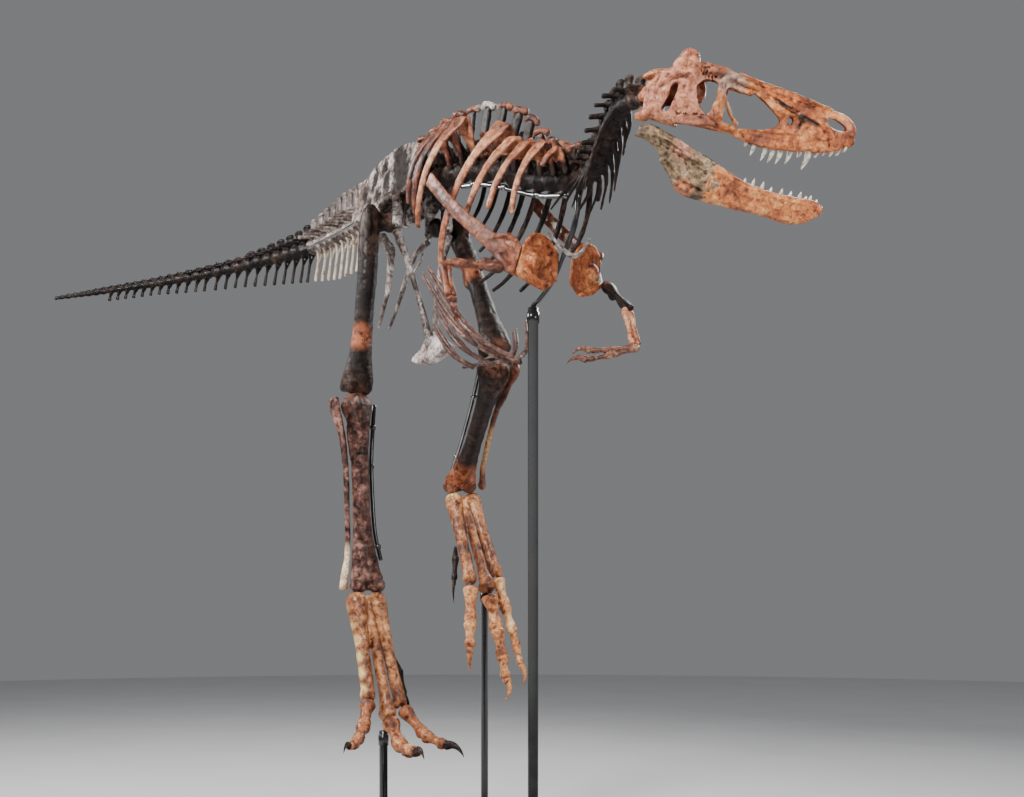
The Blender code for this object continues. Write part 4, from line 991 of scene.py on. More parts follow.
def make_jaws():
    for name, sign in SIDES.items():
        def spot(x, y, z, sign=sign):
            return jaw_place(Vector((x, sign * y, z)))

        def ring(high, low, offset, half, sign=sign):
            middle = 0.5 * (high + low)
            loop = ((offset - 0.5 * half, high), (offset + 0.5 * half, high),
                (offset + half, middle), (offset + 0.6 * half, low), (offset - 0.6 * half,
                low), (offset - half, middle))
            return [(sign * y, z) for y, z in loop]

        rear, front, teeth = Clay(), Clay(), Clay()
        slant = [at(JAW_FORM, 0.30, k) for k in (1, 2, 3, 4)]
        rows = [r for r in JAW_FORM if r[0] < 0.30] + [(0.315, *slant)]
        rows[-1] = (0.315, slant[0] - 0.012, slant[1] + 0.016, slant[2], slant[3] * 0.6)
        rear.skin([[jaw_place(Vector(p)) for p in loop] for loop in head_rings(rows, ring,
            0.010, 28)])
        rows = [(0.262, *[at(JAW_FORM, 0.262, k) for k in (1, 2, 3, 4)])]
        rows += [r for r in JAW_FORM if r[0] > 0.30]
        front.skin([[jaw_place(Vector(p)) for p in loop] for loop in head_rings(rows, ring,
            0.010, 28)])
        rear.tube([spot(*p) for p in mm((10, 82, 4), (90, 86, -6), (190, 78, -24),
            (270, 70, -40))], mm(8, 10, 8, 5))
        rear.tube([spot(*p) for p in mm((100, 78, -68), (180, 77, -116), (270, 68, -118))],
            [0.008, 0.009, 0.007])
        rear.tube([spot(*p) for p in mm((0, 76, -6), (20, 76, 12))], [0.013, 0.010])
        front.tube([spot(*p) for p in mm((280, 62, -30), (380, 49, -38), (500, 36, -30),
            (610, 20, -6))], mm(8, 9, 8, 7))
        front.tube([spot(*p) for p in mm((300, 60, -112), (430, 44, -96), (560, 27, -80))],
            [0.009, 0.008, 0.007])
        for distance, length in LOWER_TEETH:
            tooth(teeth, jaw_place, distance, sign * at(JAW_FORM, distance, 3),
                at(JAW_FORM, distance, 1), -length, 0.0050 + 0.05 * length, length * 0.1)
        back = fossil("jaw_rear_bone_" + name, (0.026, 0.015, 0.008), (0.110, 0.068, 0.034),
            (0.260, 0.165, 0.086), (0.540, 0.370, 0.230), scale=1.8, cracks=0.6,
            patches=((tuple(spot(0.150, 0.08, -0.01)), 0.040, (0.60, 0.300, 0.190), 0.8),
            (tuple(spot(0.200, 0.08, -0.12)), 0.035, (0.56, 0.190, 0.085), 0.7)))
        ahead = fossil("jaw_front_bone_" + name, (0.060, 0.014, 0.005),
            (0.330, 0.085, 0.023), (0.620, 0.210, 0.060), (0.800, 0.430, 0.170), scale=1.6,
            cracks=0.7)
        ivory = enamel("lower_tooth_enamel_" + name, (0.62, 0.54, 0.43))
        worked = remeshed(rear.mesh(), 0.0030)
        dent(worked, jaw_place, mm((82, -14, 42, 9, 6.5), (150, -58, 60, 26, 5),
            (235, -78, 40, 22, 4), (205, -34, 50, 6, 4)))
        groove(worked, jaw_place, mm(((60, -24), (150, -34), (250, -52)),
            ((110, -66), (190, -104), (280, -108)), ((90, -10), (150, -20), (190, -60))))
        weather(worked, 0.0026, 0.0026, 4)
        piece("jaw_bones_" + name, [(worked, back, 0, 0, 0), (front, ahead, 0.0030, 0.0026,
            0.0026), (teeth, ivory, 0, 0, 0)], ["jaw_" + name], "fossil_orange")


# --------------------------------------------------------- shoulders and arms

def girdle(point):
    forward, left, up = axes(direction(GIRDLE_TURN, 0))
    return GIRDLE + forward * point[0] + left * point[1] + up * point[2]


SHOULDER_ROWS = mm(((-436, 262, 415), (-474, 262, 372), 6),
    ((-296, 262, 284), (-330, 262, 240), 7), ((-150, 254, 170), (-184, 258, 124), 9),
    ((-48, 238, 100), (-84, 242, 36), 11), ((10, 208, 78), (-40, 218, -30), 14),
    ((32, 184, 50), (-10, 192, -55), 13), ((42, 145, 98), (20, 145, -80), 12),
    ((50, 85, 92), (30, 85, -100), 9), ((56, 34, 40), (40, 30, -60), 7))


def strip(clay, rows, sign):
    """Thin bone through (front edge, rear edge, half-thickness) rows."""
    table = np.array([(*one, *two, thick) for one, two, thick in rows], float)
    middle = (table[:, :3] + table[:, 3:6]) / 2
    table = smooth(np.hstack([middle, table]), 0.008)[:, 3:]
    ones = [girdle((r[0], r[1] * sign, r[2])) for r in table]
    twos = [girdle((r[3], r[4] * sign, r[5])) for r in table]
    rings = []
    for i, (one, two) in enumerate(zip(ones, twos)):
        a, b = min(i + 1, len(ones) - 1), max(i - 1, 0)
        along = (ones[a] + twos[a] - ones[b] - twos[b]).normalized()
        across = two - one
        face = along.cross(across.normalized()).normalized() * table[i][6] * 0.95
        middle, half = one.lerp(two, 0.5), across * 0.5
        rings.append([middle + half * math.cos(t) * 1.0 + face
            * math.copysign(abs(math.sin(t)) ** 0.7, math.sin(t)) for t
            in [2 * math.pi * (k + 0.5) / 24 for k in range(24)]])
    clay.skin(rings)


def make_shoulders():
    for name, sign in SIDES.items():
        blade, plate = Clay(), Clay()
        strip(blade, SHOULDER_ROWS[:6], sign)
        strip(plate, SHOULDER_ROWS[5:], sign)

        def spot(x, y, z, sign=sign):
            return girdle((x, y * sign, z))

        blade.tube([spot(*p) for p in mm((-40, 240, 20), (-20, 226, -20), (0, 208, -40))],
            [0.014, 0.018, 0.015])
        blade.tube([spot(*p) for p in mm((-60, 246, 88), (-6, 226, 86), (20, 204, 64))],
            [0.008, 0.012, 0.010])
        plate.tube([spot(*p) for p in mm((24, 186, -45), (30, 150, -76), (34, 85, -98))],
            [0.014, 0.010, 0.007])
        plate.tube([spot(*p) for p in mm((40, 172, 60), (46, 140, 90), (52, 90, 86),
            (56, 46, 46))], mm(9, 9, 7, 6))
        plate.blob(spot(0.046, 0.140, -0.006), (0.018, 0.030, 0.034),
            axes(direction(GIRDLE_TURN, 0)))
        skin = fossil("scapula_bone_" + name, *RUST, scale=1.4, tone=0.02)
        face = fossil("coracoid_bone_" + name, (0.050, 0.010, 0.004), (0.230, 0.048, 0.014),
            (0.500, 0.145, 0.042), (0.740, 0.350, 0.150), scale=1.4,
            patches=((tuple(spot(0.060, 0.118, 0.018)), 0.010, (0.010, 0.006, 0.005),
            0.95),))
        piece("shoulder_bones_" + name, [(blade, skin, 0.0034, 0.0016, 0.0016),
            (plate, face, 0.0034, 0.0018, 0.0016)], ["shoulder_" + name], "fossil_orange")
    clay = Clay()
    clay.tube([girdle(p) for p in mm((80, -105, 100), (89, -80, 72), (98, -40, 37),
        (102, -8, 24), (98, 28, 37), (90, 66, 72), (80, 96, 108))], (0.0042, 0.0060, 0.0080,
        0.0095, 0.0080, 0.0060, 0.0042))
    piece("furcula_bone", [(clay, fossil("furcula_skin", *PALE), 0.0022, 0.0008, 0.0006)],
        ["furcula"], "fossil_pale")


ARM_POSE = {"right": mm(((-30, 236, -28), (-130, 390, -12)),
    ((-135, 408, -30), (-85, 420, -140)), (-55, 400, -230), (-95, 385, -235)),
    "left": mm(((30, 226, -40), (200, 180, -160)), ((208, 172, -178), (270, 150, -305)),
    (190, -85, -345), (180, -110, -385)),}


def phalanx(clay, start, end, r, wide=None, claw=False):
    """Finger or toe bone: flared ends and a waist, or a curved claw."""
    start, end = Vector(start), Vector(end)
    run = end - start
    along = run.normalized()
    hint = Vector(wide) if wide is not None else UP
    lift = (hint - along * along.dot(hint)).normalized()
    if claw:
        rows = ((0.02, 0.000, 1.00, 0.80), (0.12, 0.004, 1.04, 0.84),
            (0.34, 0.012, 0.80, 0.62), (0.60, 0.010, 0.54, 0.42),
            (0.84, -0.002, 0.28, 0.22), (1.00, -0.018, 0.07, 0.06))
    else:
        rows = ((0.03, 0.0, 0.98, 1.00), (0.13, 0.0, 0.96, 1.02), (0.38, 0.0, 0.66, 0.72),
            (0.62, 0.0, 0.60, 0.66), (0.82, 0.0, 0.82, 0.84), (0.95, 0.0, 0.72, 0.84))
    clay.tube([start + run * d + lift * (z * run.length / 0.10) for d, z, _, _ in rows],
        [(r * a, r * b) for _, _, a, b in rows], wide=lift, sides=16, dome=0.35, step=0.006)
    if not claw:
        side = along.cross(lift)
        for s in (-1, 1):
            clay.blob(start + run * 0.86 + side * s * r * 0.46 - lift * r * 0.12,
                (r * 0.52, r * 0.36, r * 0.62), (along, side, lift))


def make_arms():
    for name, sign in SIDES.items():
        upper, lower, first, second = ARM_POSE[name]
        a, b, c, d = [girdle((p[0], p[1] * sign, p[2])) for p in (*upper, *lower)]
        palette = RUST if sign < 0 else DARK
        slot = "fossil_tan" if sign < 0 else "fossil_dark"
        skin = fossil("arm_bone_" + name, *palette, scale=1.4, patches=() if sign < 0
            else ((tuple(a), 0.035, (0.46, 0.18, 0.10), 0.9),))
        across = (d - c).cross(UP).normalized()
        humerus = Clay()
        humerus.tube([a.lerp(b, t) for t in (0.0, 0.14, 0.30, 0.55, 0.84, 0.97)],
            [(0.019, 0.027), (0.022, 0.029), (0.015, 0.020), (0.012, 0.014), (0.018, 0.024),
            (0.014, 0.020)], sides=16)
        crest = (b - a).cross(across).normalized()
        humerus.tube([a.lerp(b, 0.12) + crest * 0.012, a.lerp(b, 0.30) + crest * 0.022,
            a.lerp(b, 0.46) + crest * 0.010], [0.008, 0.010, 0.006])
        for s in (-1, 1):
            humerus.blob(b + across * s * 0.011 - (b - a) * 0.03, (0.014, 0.013, 0.014),
                ((b - a).normalized(), across, crest))
        piece("humerus_bone_" + name, [(humerus, skin, 0.0026, 0.0014, 0.0012)],
            ["humerus_" + name], slot)
        forearm = Clay()
        for s, r, back in ((1, 0.0155, -0.10), (-1, 0.0125, 0.0)):
            forearm.tube([c.lerp(d, t) + across * 0.011 * s for t in (back, 0.06, 0.50,
                0.92, 1.0)], [r * 0.75, r, r * 0.62, r * 0.92, r * 0.80], sides=14)
        skin_low = skin if sign < 0 else fossil("forearm_bone_left", *RIBS, scale=1.6,
            tone=-0.03)
        piece("forearm_bones_" + name, [(forearm, skin_low, 0.0024, 0.0012, 0.0010)],
            ["forearm_" + name], slot)
        hand = Clay()
        wrist = d + (d - c).normalized() * 0.016
        hand.blob(wrist, (0.009, 0.015, 0.012), ((d - c).normalized(), across,
            (d - c).cross(across).normalized()))
        for i, end in enumerate((first, second)):
            tip = girdle((end[0], end[1] * sign, end[2]))
            start = wrist + across * 0.011 * (0.6 if i == 0 else -0.6)
            sag = Vector((0, 0, -0.004 - 0.006 * i))
            stops = [start.lerp(tip, t) + sag * math.sin(math.pi * t) for t in (0.0, 0.36,
                0.70, 1.0)]
            for k, (one, two) in enumerate(zip(stops, stops[1:])):
                phalanx(hand, one, two, (0.0150, 0.0135, 0.0125)[k], claw=k == 2)
        grip = skin if sign < 0 else fossil("hand_bone_left", (0.016, 0.005, 0.003),
            (0.080, 0.024, 0.013), (0.210, 0.080, 0.048), (0.460, 0.240, 0.150), scale=2.2)
        piece("hand_bones_" + name, [(hand, grip, 0.0020, 0.0008, 0.0007)],
            ["hand_" + name], slot)


# --------------------------------------------------------------------- pelvis

ILIUM = mm((180, 85), (245, 120), (275, 205), (245, 262), (110, 298), (-60, 302),
    (-260, 276), (-410, 215), (-455, 150), (-430, 88), (-180, 70), (-60, 78), (60, 78))
# Painted shade of hollows on the outer face of the blade: distance, height, radius
ILIUM_HOLLOW_SHADE = mm((-305, 190, 26), (-285, 160, 22), (-170, 226, 26), (-185, 188, 22),
    (-75, 245, 30), (-35, 165, 30), (-30, 200, 24), (-225, 125, 24), (-125, 140, 22),
    (95, 210, 66), (130, 150, 50), (70, 270, 40))


def make_pelvis():
    for name, sign in SIDES.items():
        def place(p, sign=sign):
            lean = 0.118 - 0.12 * max(p.z, 0.0)
            bow = 0.010 * math.cos((p.x + 0.09) * 6.0) - 0.006
            return HIPS + Vector((p.x, sign * (lean + bow + p.y), p.z))

        def spot(x, y, z, place=place):
            return place(Vector((x, y, z)))

        blade = Clay()
        blade.slab(ILIUM, 0.0115, place, fine=0.020)
        out = Vector((0, sign, 0))
        blade.tube([spot(*p) for p in mm((94, 0, -38), (80, 0, 66), (0, 0, 100),
            (-74, 0, 66), (-90, 0, -14))], mm((26, 25), (25, 22), (27, 22), (25, 22),
            (26, 24)), wide=(0, 1, 0), sides=18)
        blade.tube([spot(0.0, sign * 0.006, 0.110), spot(-0.010, sign * 0.010, 0.200),
            spot(-0.020, sign * 0.006, 0.285)], mm((12, 20), (8, 16), (8, 26)), wide=out)
        for row in mm(((235, 130), (258, 205), (232, 250), (110, 286), (-60, 290),
                (-260, 264), (-400, 206)), ((-440, 150), (-420, 102), (-280, 86),
                (-130, 84))):
            blade.tube([spot(x, sign * 0.002, z) for x, z in row], [0.0125] * len(row),
                step=0.014)
        blade.tube([spot(-0.130, sign * 0.008, 0.092), spot(-0.270, sign * 0.010, 0.104),
            spot(-0.400, sign * 0.008, 0.116)], [0.015, 0.011, 0.009])
        side = HIPS + Vector((-0.10, sign * 0.10, 0.20))
        # The dark patch at the hip socket and the dark hollow spots are painted shade.
        skin = fossil("ilium_bone_" + name, (0.008, 0.005, 0.004), (0.060, 0.038, 0.031),
            (0.360, 0.300, 0.270), (0.780, 0.730, 0.690), scale=1.15, cracks=0.8,
            gloss=0.62, coat=0.0, patches=[(tuple(HIPS + Vector((0.03, sign * 0.11, 0.02))),
            0.100, (0.030, 0.014, 0.010), 0.97), (tuple(side + Vector((-0.25, 0, -0.03))),
            0.08, (0.15, 0.085, 0.065), 0.6)] + [(tuple(spot(x, 0.014, z)), size * 1.35,
            (0.022, 0.013, 0.010), 0.97) for x, z, size in ILIUM_HOLLOW_SHADE])
        piece("ilium_bone_piece_" + name, [(blade, skin, 0.0044, 0.0050, 0.0052)],
            ["ilium_" + name], "fossil_pale")

        shaft = Clay()
        shaft.tube([HIPS + Vector((x, sign * y, z)) for x, y, z in mm((-95, 112, -45),
            (-106, 84, -75), (-118, 56, -110), (-195, 36, -240), (-265, 31, -325),
            (-330, 26, -395))], mm((30, 14), (31, 12), (31, 11), (20, 10), (12, 8), (9, 6)),
            wide=(1, 0, 0.4), sides=16)
        shaft.tube([HIPS + Vector((x, sign * y, z)) for x, y, z in mm((-100, 90, -100),
            (-86, 64, -150), (-124, 50, -190))], [(0.010, 0.006)] * 3, wide=(1, 0, 0.4))
        piece("ischium_bone_" + name,
            [(shaft, fossil("ischium_skin_" + name, *PALE, tone=-0.03), 0.0032, 0.0014,
            0.0012)], ["ischium_" + name], "fossil_pale")

    shafts, boot = Clay(), Clay()
    for sign in (-1, 1):
        shafts.tube([HIPS + Vector((x, sign * y, z)) for x, y, z in mm((94, 118, -70),
            (100, 106, -115), (110, 90, -160), (140, 45, -330), (180, 22, -480),
            (210, 18, -560))], mm((28, 19), (24, 16), (17, 14), (14, 11), (18, 15),
            (24, 22)), wide=(1, 0, 0), sides=16)
    boot.slab(mm((170, -520), (250, -530), (350, -575), (360, -600), (260, -628),
        (140, -632), (40, -612), (30, -590), (120, -560)), 0.027, lambda p: HIPS + p)
    boot.tube([HIPS + Vector(p) for p in mm((52, 0, -602), (140, 0, -606), (250, 0, -602),
        (335, 0, -588))], mm((14, 18), (24, 32), (26, 32), (14, 17)), wide=(0, 0, 1),
        sides=18)
    white = fossil("pubis_shaft_bone", (0.010, 0.006, 0.005), (0.050, 0.032, 0.027),
        (0.230, 0.185, 0.165), (0.700, 0.640, 0.600), scale=1.7)
    brown = fossil("pubis_boot_bone", (0.020, 0.010, 0.008), (0.260, 0.180, 0.150),
        (0.680, 0.590, 0.550), (0.900, 0.850, 0.820), scale=1.6)
    piece("pubis_bones", [(shafts, white, 0.0034, 0.0014, 0.0012), (boot, brown, 0.0036,
        0.0024, 0.0020)], ["pubis"], "fossil_pale")


# ----------------------------------------------------------------------- legs

def leg_frame(start, turn, drop, sign, hint):
    down = direction(turn, drop)
    front = (hint - down * down.dot(hint)).normalized()
    out = down.cross(front).normalized()
    if out.y * sign < 0:
        out = -out
    return start, down, front, out


def shaft(clay, place, rows, **more):
    """Rounded shaft from rows of (distance, front, out, half front, half out)."""
    start, down, front, out = place
    clay.tube([start + down * d + front * f + out * o for d, f, o, _, _ in rows],
        [(rf, ro) for *_, rf, ro in rows], wide=front, sides=22, **more)


def lump(clay, place, d, f, o, sizes):
    start, down, front, out = place
    clay.blob(start + down * d + front * f + out * o, sizes, (down, front, out))


def make_leg(name, sign):
    pose = LEG_POSE[name]
    hip = HIPS + Vector((0.0, sign * HIP_SPACING * 0.5, 0.0))
    knee = hip + direction(*pose["femur"]) * FEMUR
    out = leg_frame(hip, *pose["femur"], sign, THIGH_FRONT)[3]
    top = hip + out * FEMUR_OFFSET
    lower = (knee - top).normalized()
    front = (THIGH_FRONT - lower * lower.dot(THIGH_FRONT)).normalized()
    out = lower.cross(front)
    out = out if out.y * sign > 0 else -out
    length = (knee - top).length
    thigh = (top, lower, front, out)
    femur = Clay()
    shaft(femur, thigh, (mm(-32, 4, 4, 30, 22), mm(0, 2, 0, 48, 38), mm(90, 4, 0, 46, 44),
        mm(250, 16, 0, 42, 43), mm(400, 18, 0, 38, 41), (length - 0.200, 0.012, 0.000,
        0.041, 0.047), (length - 0.090, 0.008, 0.000, 0.044, 0.064), (length - 0.030, 0.006,
        0.000, 0.040, 0.066)))
    femur.tube((top + lower * 0.050, top.lerp(hip, 0.55) + lower * 0.022, hip - out * 0.018
        + lower * 0.010), mm((48, 40), (40, 36), (36, 34)), wide=lower)
    femur.blob(hip - out * 0.022 + lower * 0.010, (0.044, 0.041, 0.036),
        (lower, front, out), 20)
    shaft(femur, thigh, mm((-12, 30, 20, 16, 14), (50, 42, 22, 20, 15),
        (110, 38, 14, 14, 12)))
    shaft(femur, thigh, mm((250, -16, -12, 14, 8), (310, -34, -14, 16, 10),
        (370, -18, -12, 12, 8)))
    for o, size in mm((-40, 30), (40, 27)):
        shaft(femur, thigh, ((length - 0.130, -0.014, o * 0.9, 0.014, 0.014),
            (length - 0.070, -0.030, o, 0.024, 0.020), (length - 0.030, -0.030, o, 0.028,
            0.024)))
        lump(femur, thigh, length - 0.040, -0.022, o, (size, 0.038, size * 0.92))
        lump(femur, thigh, length - 0.048, 0.022, o * 0.85, (0.044, 0.024, 0.024))
    patch = thigh[0] + lower * (0.525 if sign < 0 else 0.30)
    skin = fossil("femur_bone_" + name, *DARK, scale=0.9, cracks=0.8,
        patches=((tuple(patch + Vector((0.03, -0.02, 0.0))), 0.060, (0.46, 0.150, 0.066),
        0.85), (tuple(knee + Vector((0.0, 0.0, 0.02))), 0.05, (0.20, 0.080, 0.045), 0.6)))
    piece("femur_bone_piece_" + name, [(femur, skin, 0.0048, 0.0026, 0.0024)],
        ["femur_" + name], "fossil_dark")

    shin = leg_frame(knee, *pose["tibia"], sign, SHIN_FRONT[name])
    begin = pose["knee"]

    def shifted(rows):
        share = (0.838 - begin) / 0.828
        return [(begin + (row[0] - 0.010) * share, *row[1:]) for row in rows]

    tibia, ankle_bone = Clay(), Clay()
    shaft(tibia, shin, shifted(mm((18, -4, 0, 48, 60), (50, 0, 0, 60, 68),
        (110, 12, 0, 54, 50), (230, 10, 0, 40, 40), (400, 5, 0, 36, 38),
        (560, 0, 0, 35, 40), (700, 0, -5, 35, 56), (780, 3, -9, 36, 74))))
    shaft(tibia, shin, shifted(mm((16, 46, 14, 14, 11), (50, 64, 14, 22, 13),
        (110, 56, 10, 18, 12), (200, 36, 6, 12, 10))))
    shaft(tibia, shin, shifted(mm((130, 6, 40, 9, 14), (220, 6, 36, 10, 14),
        (300, 4, 28, 8, 10))))
    for o in (-0.034, 0.034):
        lump(tibia, shin, begin + 0.030, -0.022, o, (0.020, 0.034, 0.028))
    for o in (-0.060, 0.040):
        shaft(tibia, shin, shifted(((0.690, -0.004, o * 0.7, 0.016, 0.014),
            (0.770, -0.004, o, 0.022, 0.020), (0.812, 0.000, o, 0.024, 0.020))))
    start, down, front, out = shin
    for o, size in mm((-50, 38), (30, 36)):
        ankle_bone.blob(start + down * 0.810 + front * 0.006 + out * o,
            (0.035, 0.041, size), (down, front, out), 18)
    ankle_bone.tube([start + down * 0.812 + front * 0.006 - out * 0.072, start + down
        * 0.816 + front * 0.004, start + down * 0.812 + front * 0.006 + out * 0.056],
        mm((20, 34), (18, 28), (18, 30)), wide=down)
    ankle_bone.tube([start + down * 0.800 + front * 0.034 + out * 0.004, start + down
        * 0.740 + front * 0.040 + out * 0.014, start + down * 0.690 + front * 0.034 + out
        * 0.018], mm((30, 8), (20, 6), (8, 4)), wide=out)
    low = knee + shin[1] * 0.76
    skin = fossil("tibia_bone_" + name, *(DARK if sign > 0 else SHIN), scale=0.9,
        cracks=0.8, patches=((tuple(low), 0.110 if sign > 0 else 0.030,
        (0.46, 0.150, 0.066), 0.85), (tuple(knee + shin[1] * 0.05), 0.060,
        (0.28, 0.110, 0.066), 0.6)))
    foot_skin = fossil("ankle_bone_" + name, *(RUST if sign > 0 else SHIN), scale=1.2)
    piece("tibia_bone_piece_" + name, [(tibia, skin, 0.0046, 0.0024, 0.0022),
        (ankle_bone, foot_skin, 0.0042, 0.0022, 0.0020)], ["tibia_" + name], "fossil_dark")

    fibula = Clay()
    shaft(fibula, shin, shifted(mm((20, -12, 98, 40, 17), (60, -10, 95, 40, 18),
        (160, -2, 74, 23, 14), (260, 2, 66, 16, 13), (400, 4, 64, 13, 12),
        (660, 10, 74, 12, 12), (780, 6, 94, 19, 15), (822, 4, 98, 24, 17))))
    shaft(fibula, shin, shifted(mm((120, 14, 84, 12, 8), (190, 20, 76, 10, 8),
        (250, 14, 70, 8, 6))))
    if sign < 0:
        skin = fossil("fibula_bone_right", *SHIN, scale=1.0, tone=0.02,
            patches=((tuple(knee + shin[1] * 0.74 + shin[3] * 0.09), 0.10,
            (0.95, 0.70, 0.48), 0.97),))
    else:
        skin = fossil("fibula_bone_left", *RUST, scale=1.0,
            patches=((tuple(knee + shin[1] * 0.56 + shin[3] * 0.08), 0.14,
            (0.66, 0.38, 0.17), 0.9),))
    piece("fibula_bone_piece_" + name, [(fibula, skin, 0.0034, 0.0016, 0.0014)],
        ["fibula_" + name], "fossil_dark")

    ankle = knee + shin[1] * TIBIA
    foot = leg_frame(ankle, *pose["foot"], sign, Vector((1.0, 0.0, 1.0)))
    start, down, front, out = foot
    bones = Clay()
    for digit, top_out, f, near, middle, end in ((2, -0.044, 0.0, (0.046, 0.038),
            (0.027, 0.026), (0.034, 0.029)), (3, 0.000, 0.010, (0.024, 0.016),
            (0.027, 0.021), (0.040, 0.034)), (4, 0.044, 0.0, (0.050, 0.042), (0.029, 0.028),
            (0.034, 0.029))):
        reach, low_out = REACH[digit], LOW_OUT[digit]
        rows = []
        for part, size in (((pose["ankle"] + 0.006) / reach, near), (0.13, near),
                (0.32, tuple(0.62 * m + 0.38 * n for m, n in zip(middle, near))),
                (0.55, middle), (0.80, tuple(m * 1.02 for m in middle)),
                (0.91, tuple(s * 0.92 for s in end)),
                (0.965, tuple(s * 0.86 for s in end))):
            rows.append((part * reach, f, top_out + (low_out - top_out) * part, *size))
        shaft(bones, foot, rows, step=0.010)
        for s in (-1, 1):
            lump(bones, foot, reach * 0.955, f - 0.004, low_out + s * end[1] * 0.48,
                (0.032, end[0] * 0.98, end[1] * 0.50))
    bones.tube([start + down * (pose["ankle"] + 0.020) - out * 0.060 + front * 0.004,
        start + down * (pose["ankle"] + 0.016) + out * 0.060 + front * 0.004],
        mm((14, 36), (14, 38)), wide=down)
    tint = ((0.024, 0.007, 0.003), (0.140, 0.040, 0.014), (0.40, 0.150, 0.054),
        (0.74, 0.390, 0.180))
    if sign < 0:
        cream = [(start + down * d + out * (0.052 + 0.10 * d), 0.030) for d in mm(60, 130,
            200, 270, 340, 410)]
    else:
        cream = [(start + down * 0.03 - out * 0.052 + front * 0.02, 0.044)]
    skin = fossil("metatarsal_bone_" + name, *tint, scale=1.1, cracks=0.85,
        patches=[(tuple(spot), size, (0.92, 0.62, 0.27), 0.85) for spot, size in cream])
    piece("metatarsal_bones_" + name, [(bones, skin, 0.0042, 0.0022, 0.0020)],
        ["metatarsus_" + name], "fossil_tan")
    return foot


def toe(clay, claws, root, turn, drops, lengths, radius):
    point = root
    for i, (length, drop) in enumerate(zip(lengths, drops)):
        along = direction(turn, drop)
        upward = along.cross(direction(turn + 90, 0))
        end = point + along * length
        r = radius * (1 - 0.12 * i)
        last = i == len(lengths) - 1
        phalanx(claws if last else clay, point, end, r * (0.74 if last else 0.98), upward,
            claw=last)
        point = end


def make_toes(name, sign, foot):
    start, down, front, out = foot
    if sign < 0:
        palette = ((0.026, 0.006, 0.002), (0.150, 0.036, 0.010), (0.38, 0.120, 0.036),
            (0.72, 0.350, 0.150))
    else:
        palette = ((0.060, 0.016, 0.006), (0.400, 0.125, 0.042), (0.76, 0.340, 0.130),
            (0.92, 0.620, 0.330))
    for digit, (lengths, radius) in TOES.items():
        turn, drops = TOE_POSE[name][digit]
        root = start + down * REACH[digit] + out * LOW_OUT[digit]
        root = root + front * (0.010 if digit == 3 else 0.0)
        root = root + direction(turn, drops[0]) * (radius * 0.45 + 0.008)
        clay, claws = Clay(), Clay()
        toe(clay, claws, root, turn, drops, lengths, radius)
        skin = fossil("toe_%d_bone_%s" % (digit, name), *palette, scale=1.2)
        horn = fossil("toe_%d_claw_%s" % (digit, name), *DARK, scale=1.4, gloss=0.26)
        piece("toe_%d_bones_%s" % (digit, name), [(clay, skin, 0.0034, 0.0016, 0.0016),
            (claws, horn if sign < 0 else skin, 0.0028, 0.0010, 0.0010)],
            ["toe_%d_%s" % (digit, name)], "fossil_tan")
    aside, behind = (0.105, 0.030) if sign < 0 else (0.078, 0.056)
    inner = start + down * (REACH[3] * 0.60) - out * aside - front * behind
    clay = Clay()
    toe(clay, clay, inner, 20 if sign < 0 else -35, (72, 78), (0.112, 0.108), 0.0165)
    clay.tube([inner - down * 0.050 + out * 0.012, inner - down * 0.004], [0.007, 0.013])
    piece("toe_1_bones_" + name, [(clay, fossil("toe_1_bone_" + name, *DARK), 0.0026,
        0.0010, 0.0010)], ["toe_1_" + name], "fossil_dark")


# ---------------------------------------------------------------------- stand

SHIN_BARS = {     # along a shin: distance, how far behind and how far inside it
    "right": mm((30, 30, 92), (130, 12, 74), (300, 10, 58), (560, 12, 60), (700, 16, 84)),
    "left": mm((40, 96, 30), (150, 74, 30), (300, 56, 30), (560, 54, 30), (780, 70, 30)),
}


def lathe(clay, x, y, rows, sides=40):
    """Turned steel part: rows of (height, radius)."""
    clay.skin([[Vector((x + r * math.cos(t), y + r * math.sin(t), z)) for t
        in [2 * math.pi * k / sides for k in range(sides)]] for z, r in rows])


def make_stand():
    length, width, thick = BASE
    paint = painted_steel("stand_paint", 0.010, 0.24)
    rings = []
    for z, inset in ((0.0, 0.004), (0.002, 0.001), (0.004, 0.0), (thick - 0.006, 0.0),
            (thick - 0.003, 0.0012), (thick - 0.001, 0.0035), (thick, 0.0065)):
        x, y, k = length / 2 - inset, width / 2 - inset, 0.05 - inset
        ring = []
        for cx, cy, first in ((x - k, y - k, 0), (-x + k, y - k, 90), (-x + k, -y + k, 180),
                (x - k, -y + k, 270)):
            for step in range(13):
                t = math.radians(first + 90 * step / 12)
                ring.append(Vector((cx + k * math.cos(t), cy + k * math.sin(t), z)))
        rings.append(ring)
    clay = Clay()
    clay.skin(rings)
    piece("base_plate", [(flat_sided(clay), paint, 0, 0, 0)], ["stand_base"], "steel_black")
    for name, (x, y, top, radius) in POSTS.items():
        clay = Clay()
        z = thick + 0.0003
        flange = radius * 2.9
        lathe(clay, x, y, ((z, flange), (z + 0.007, flange), (z + 0.009, flange - 0.002),
            (z + 0.010, radius * 1.75), (z + 0.022, radius * 1.55),
            (z + 0.026, radius * 1.08), (z + 0.030, radius), (top - 0.062, radius),
            (top - 0.060, radius * 1.22), (top - 0.020, radius * 1.22),
            (top - 0.018, radius), (top - 0.003, radius), (top, radius - 0.003)))
        for k in range(4):
            t = math.radians(45 + 90 * k)
            bx, by = (x + flange * 0.80 * math.cos(t), y + flange * 0.80 * math.sin(t))
            lathe(clay, bx, by, ((z + 0.008, 0.0085), (z + 0.0105, 0.0085),
                (z + 0.0106, 0.0066), (z + 0.0150, 0.0066), (z + 0.0160, 0.0056)), 6)
        piece("post_" + name, [(flat_sided(clay), paint, 0, 0, 0)], ["stand_post_" + name],
            "steel_black")


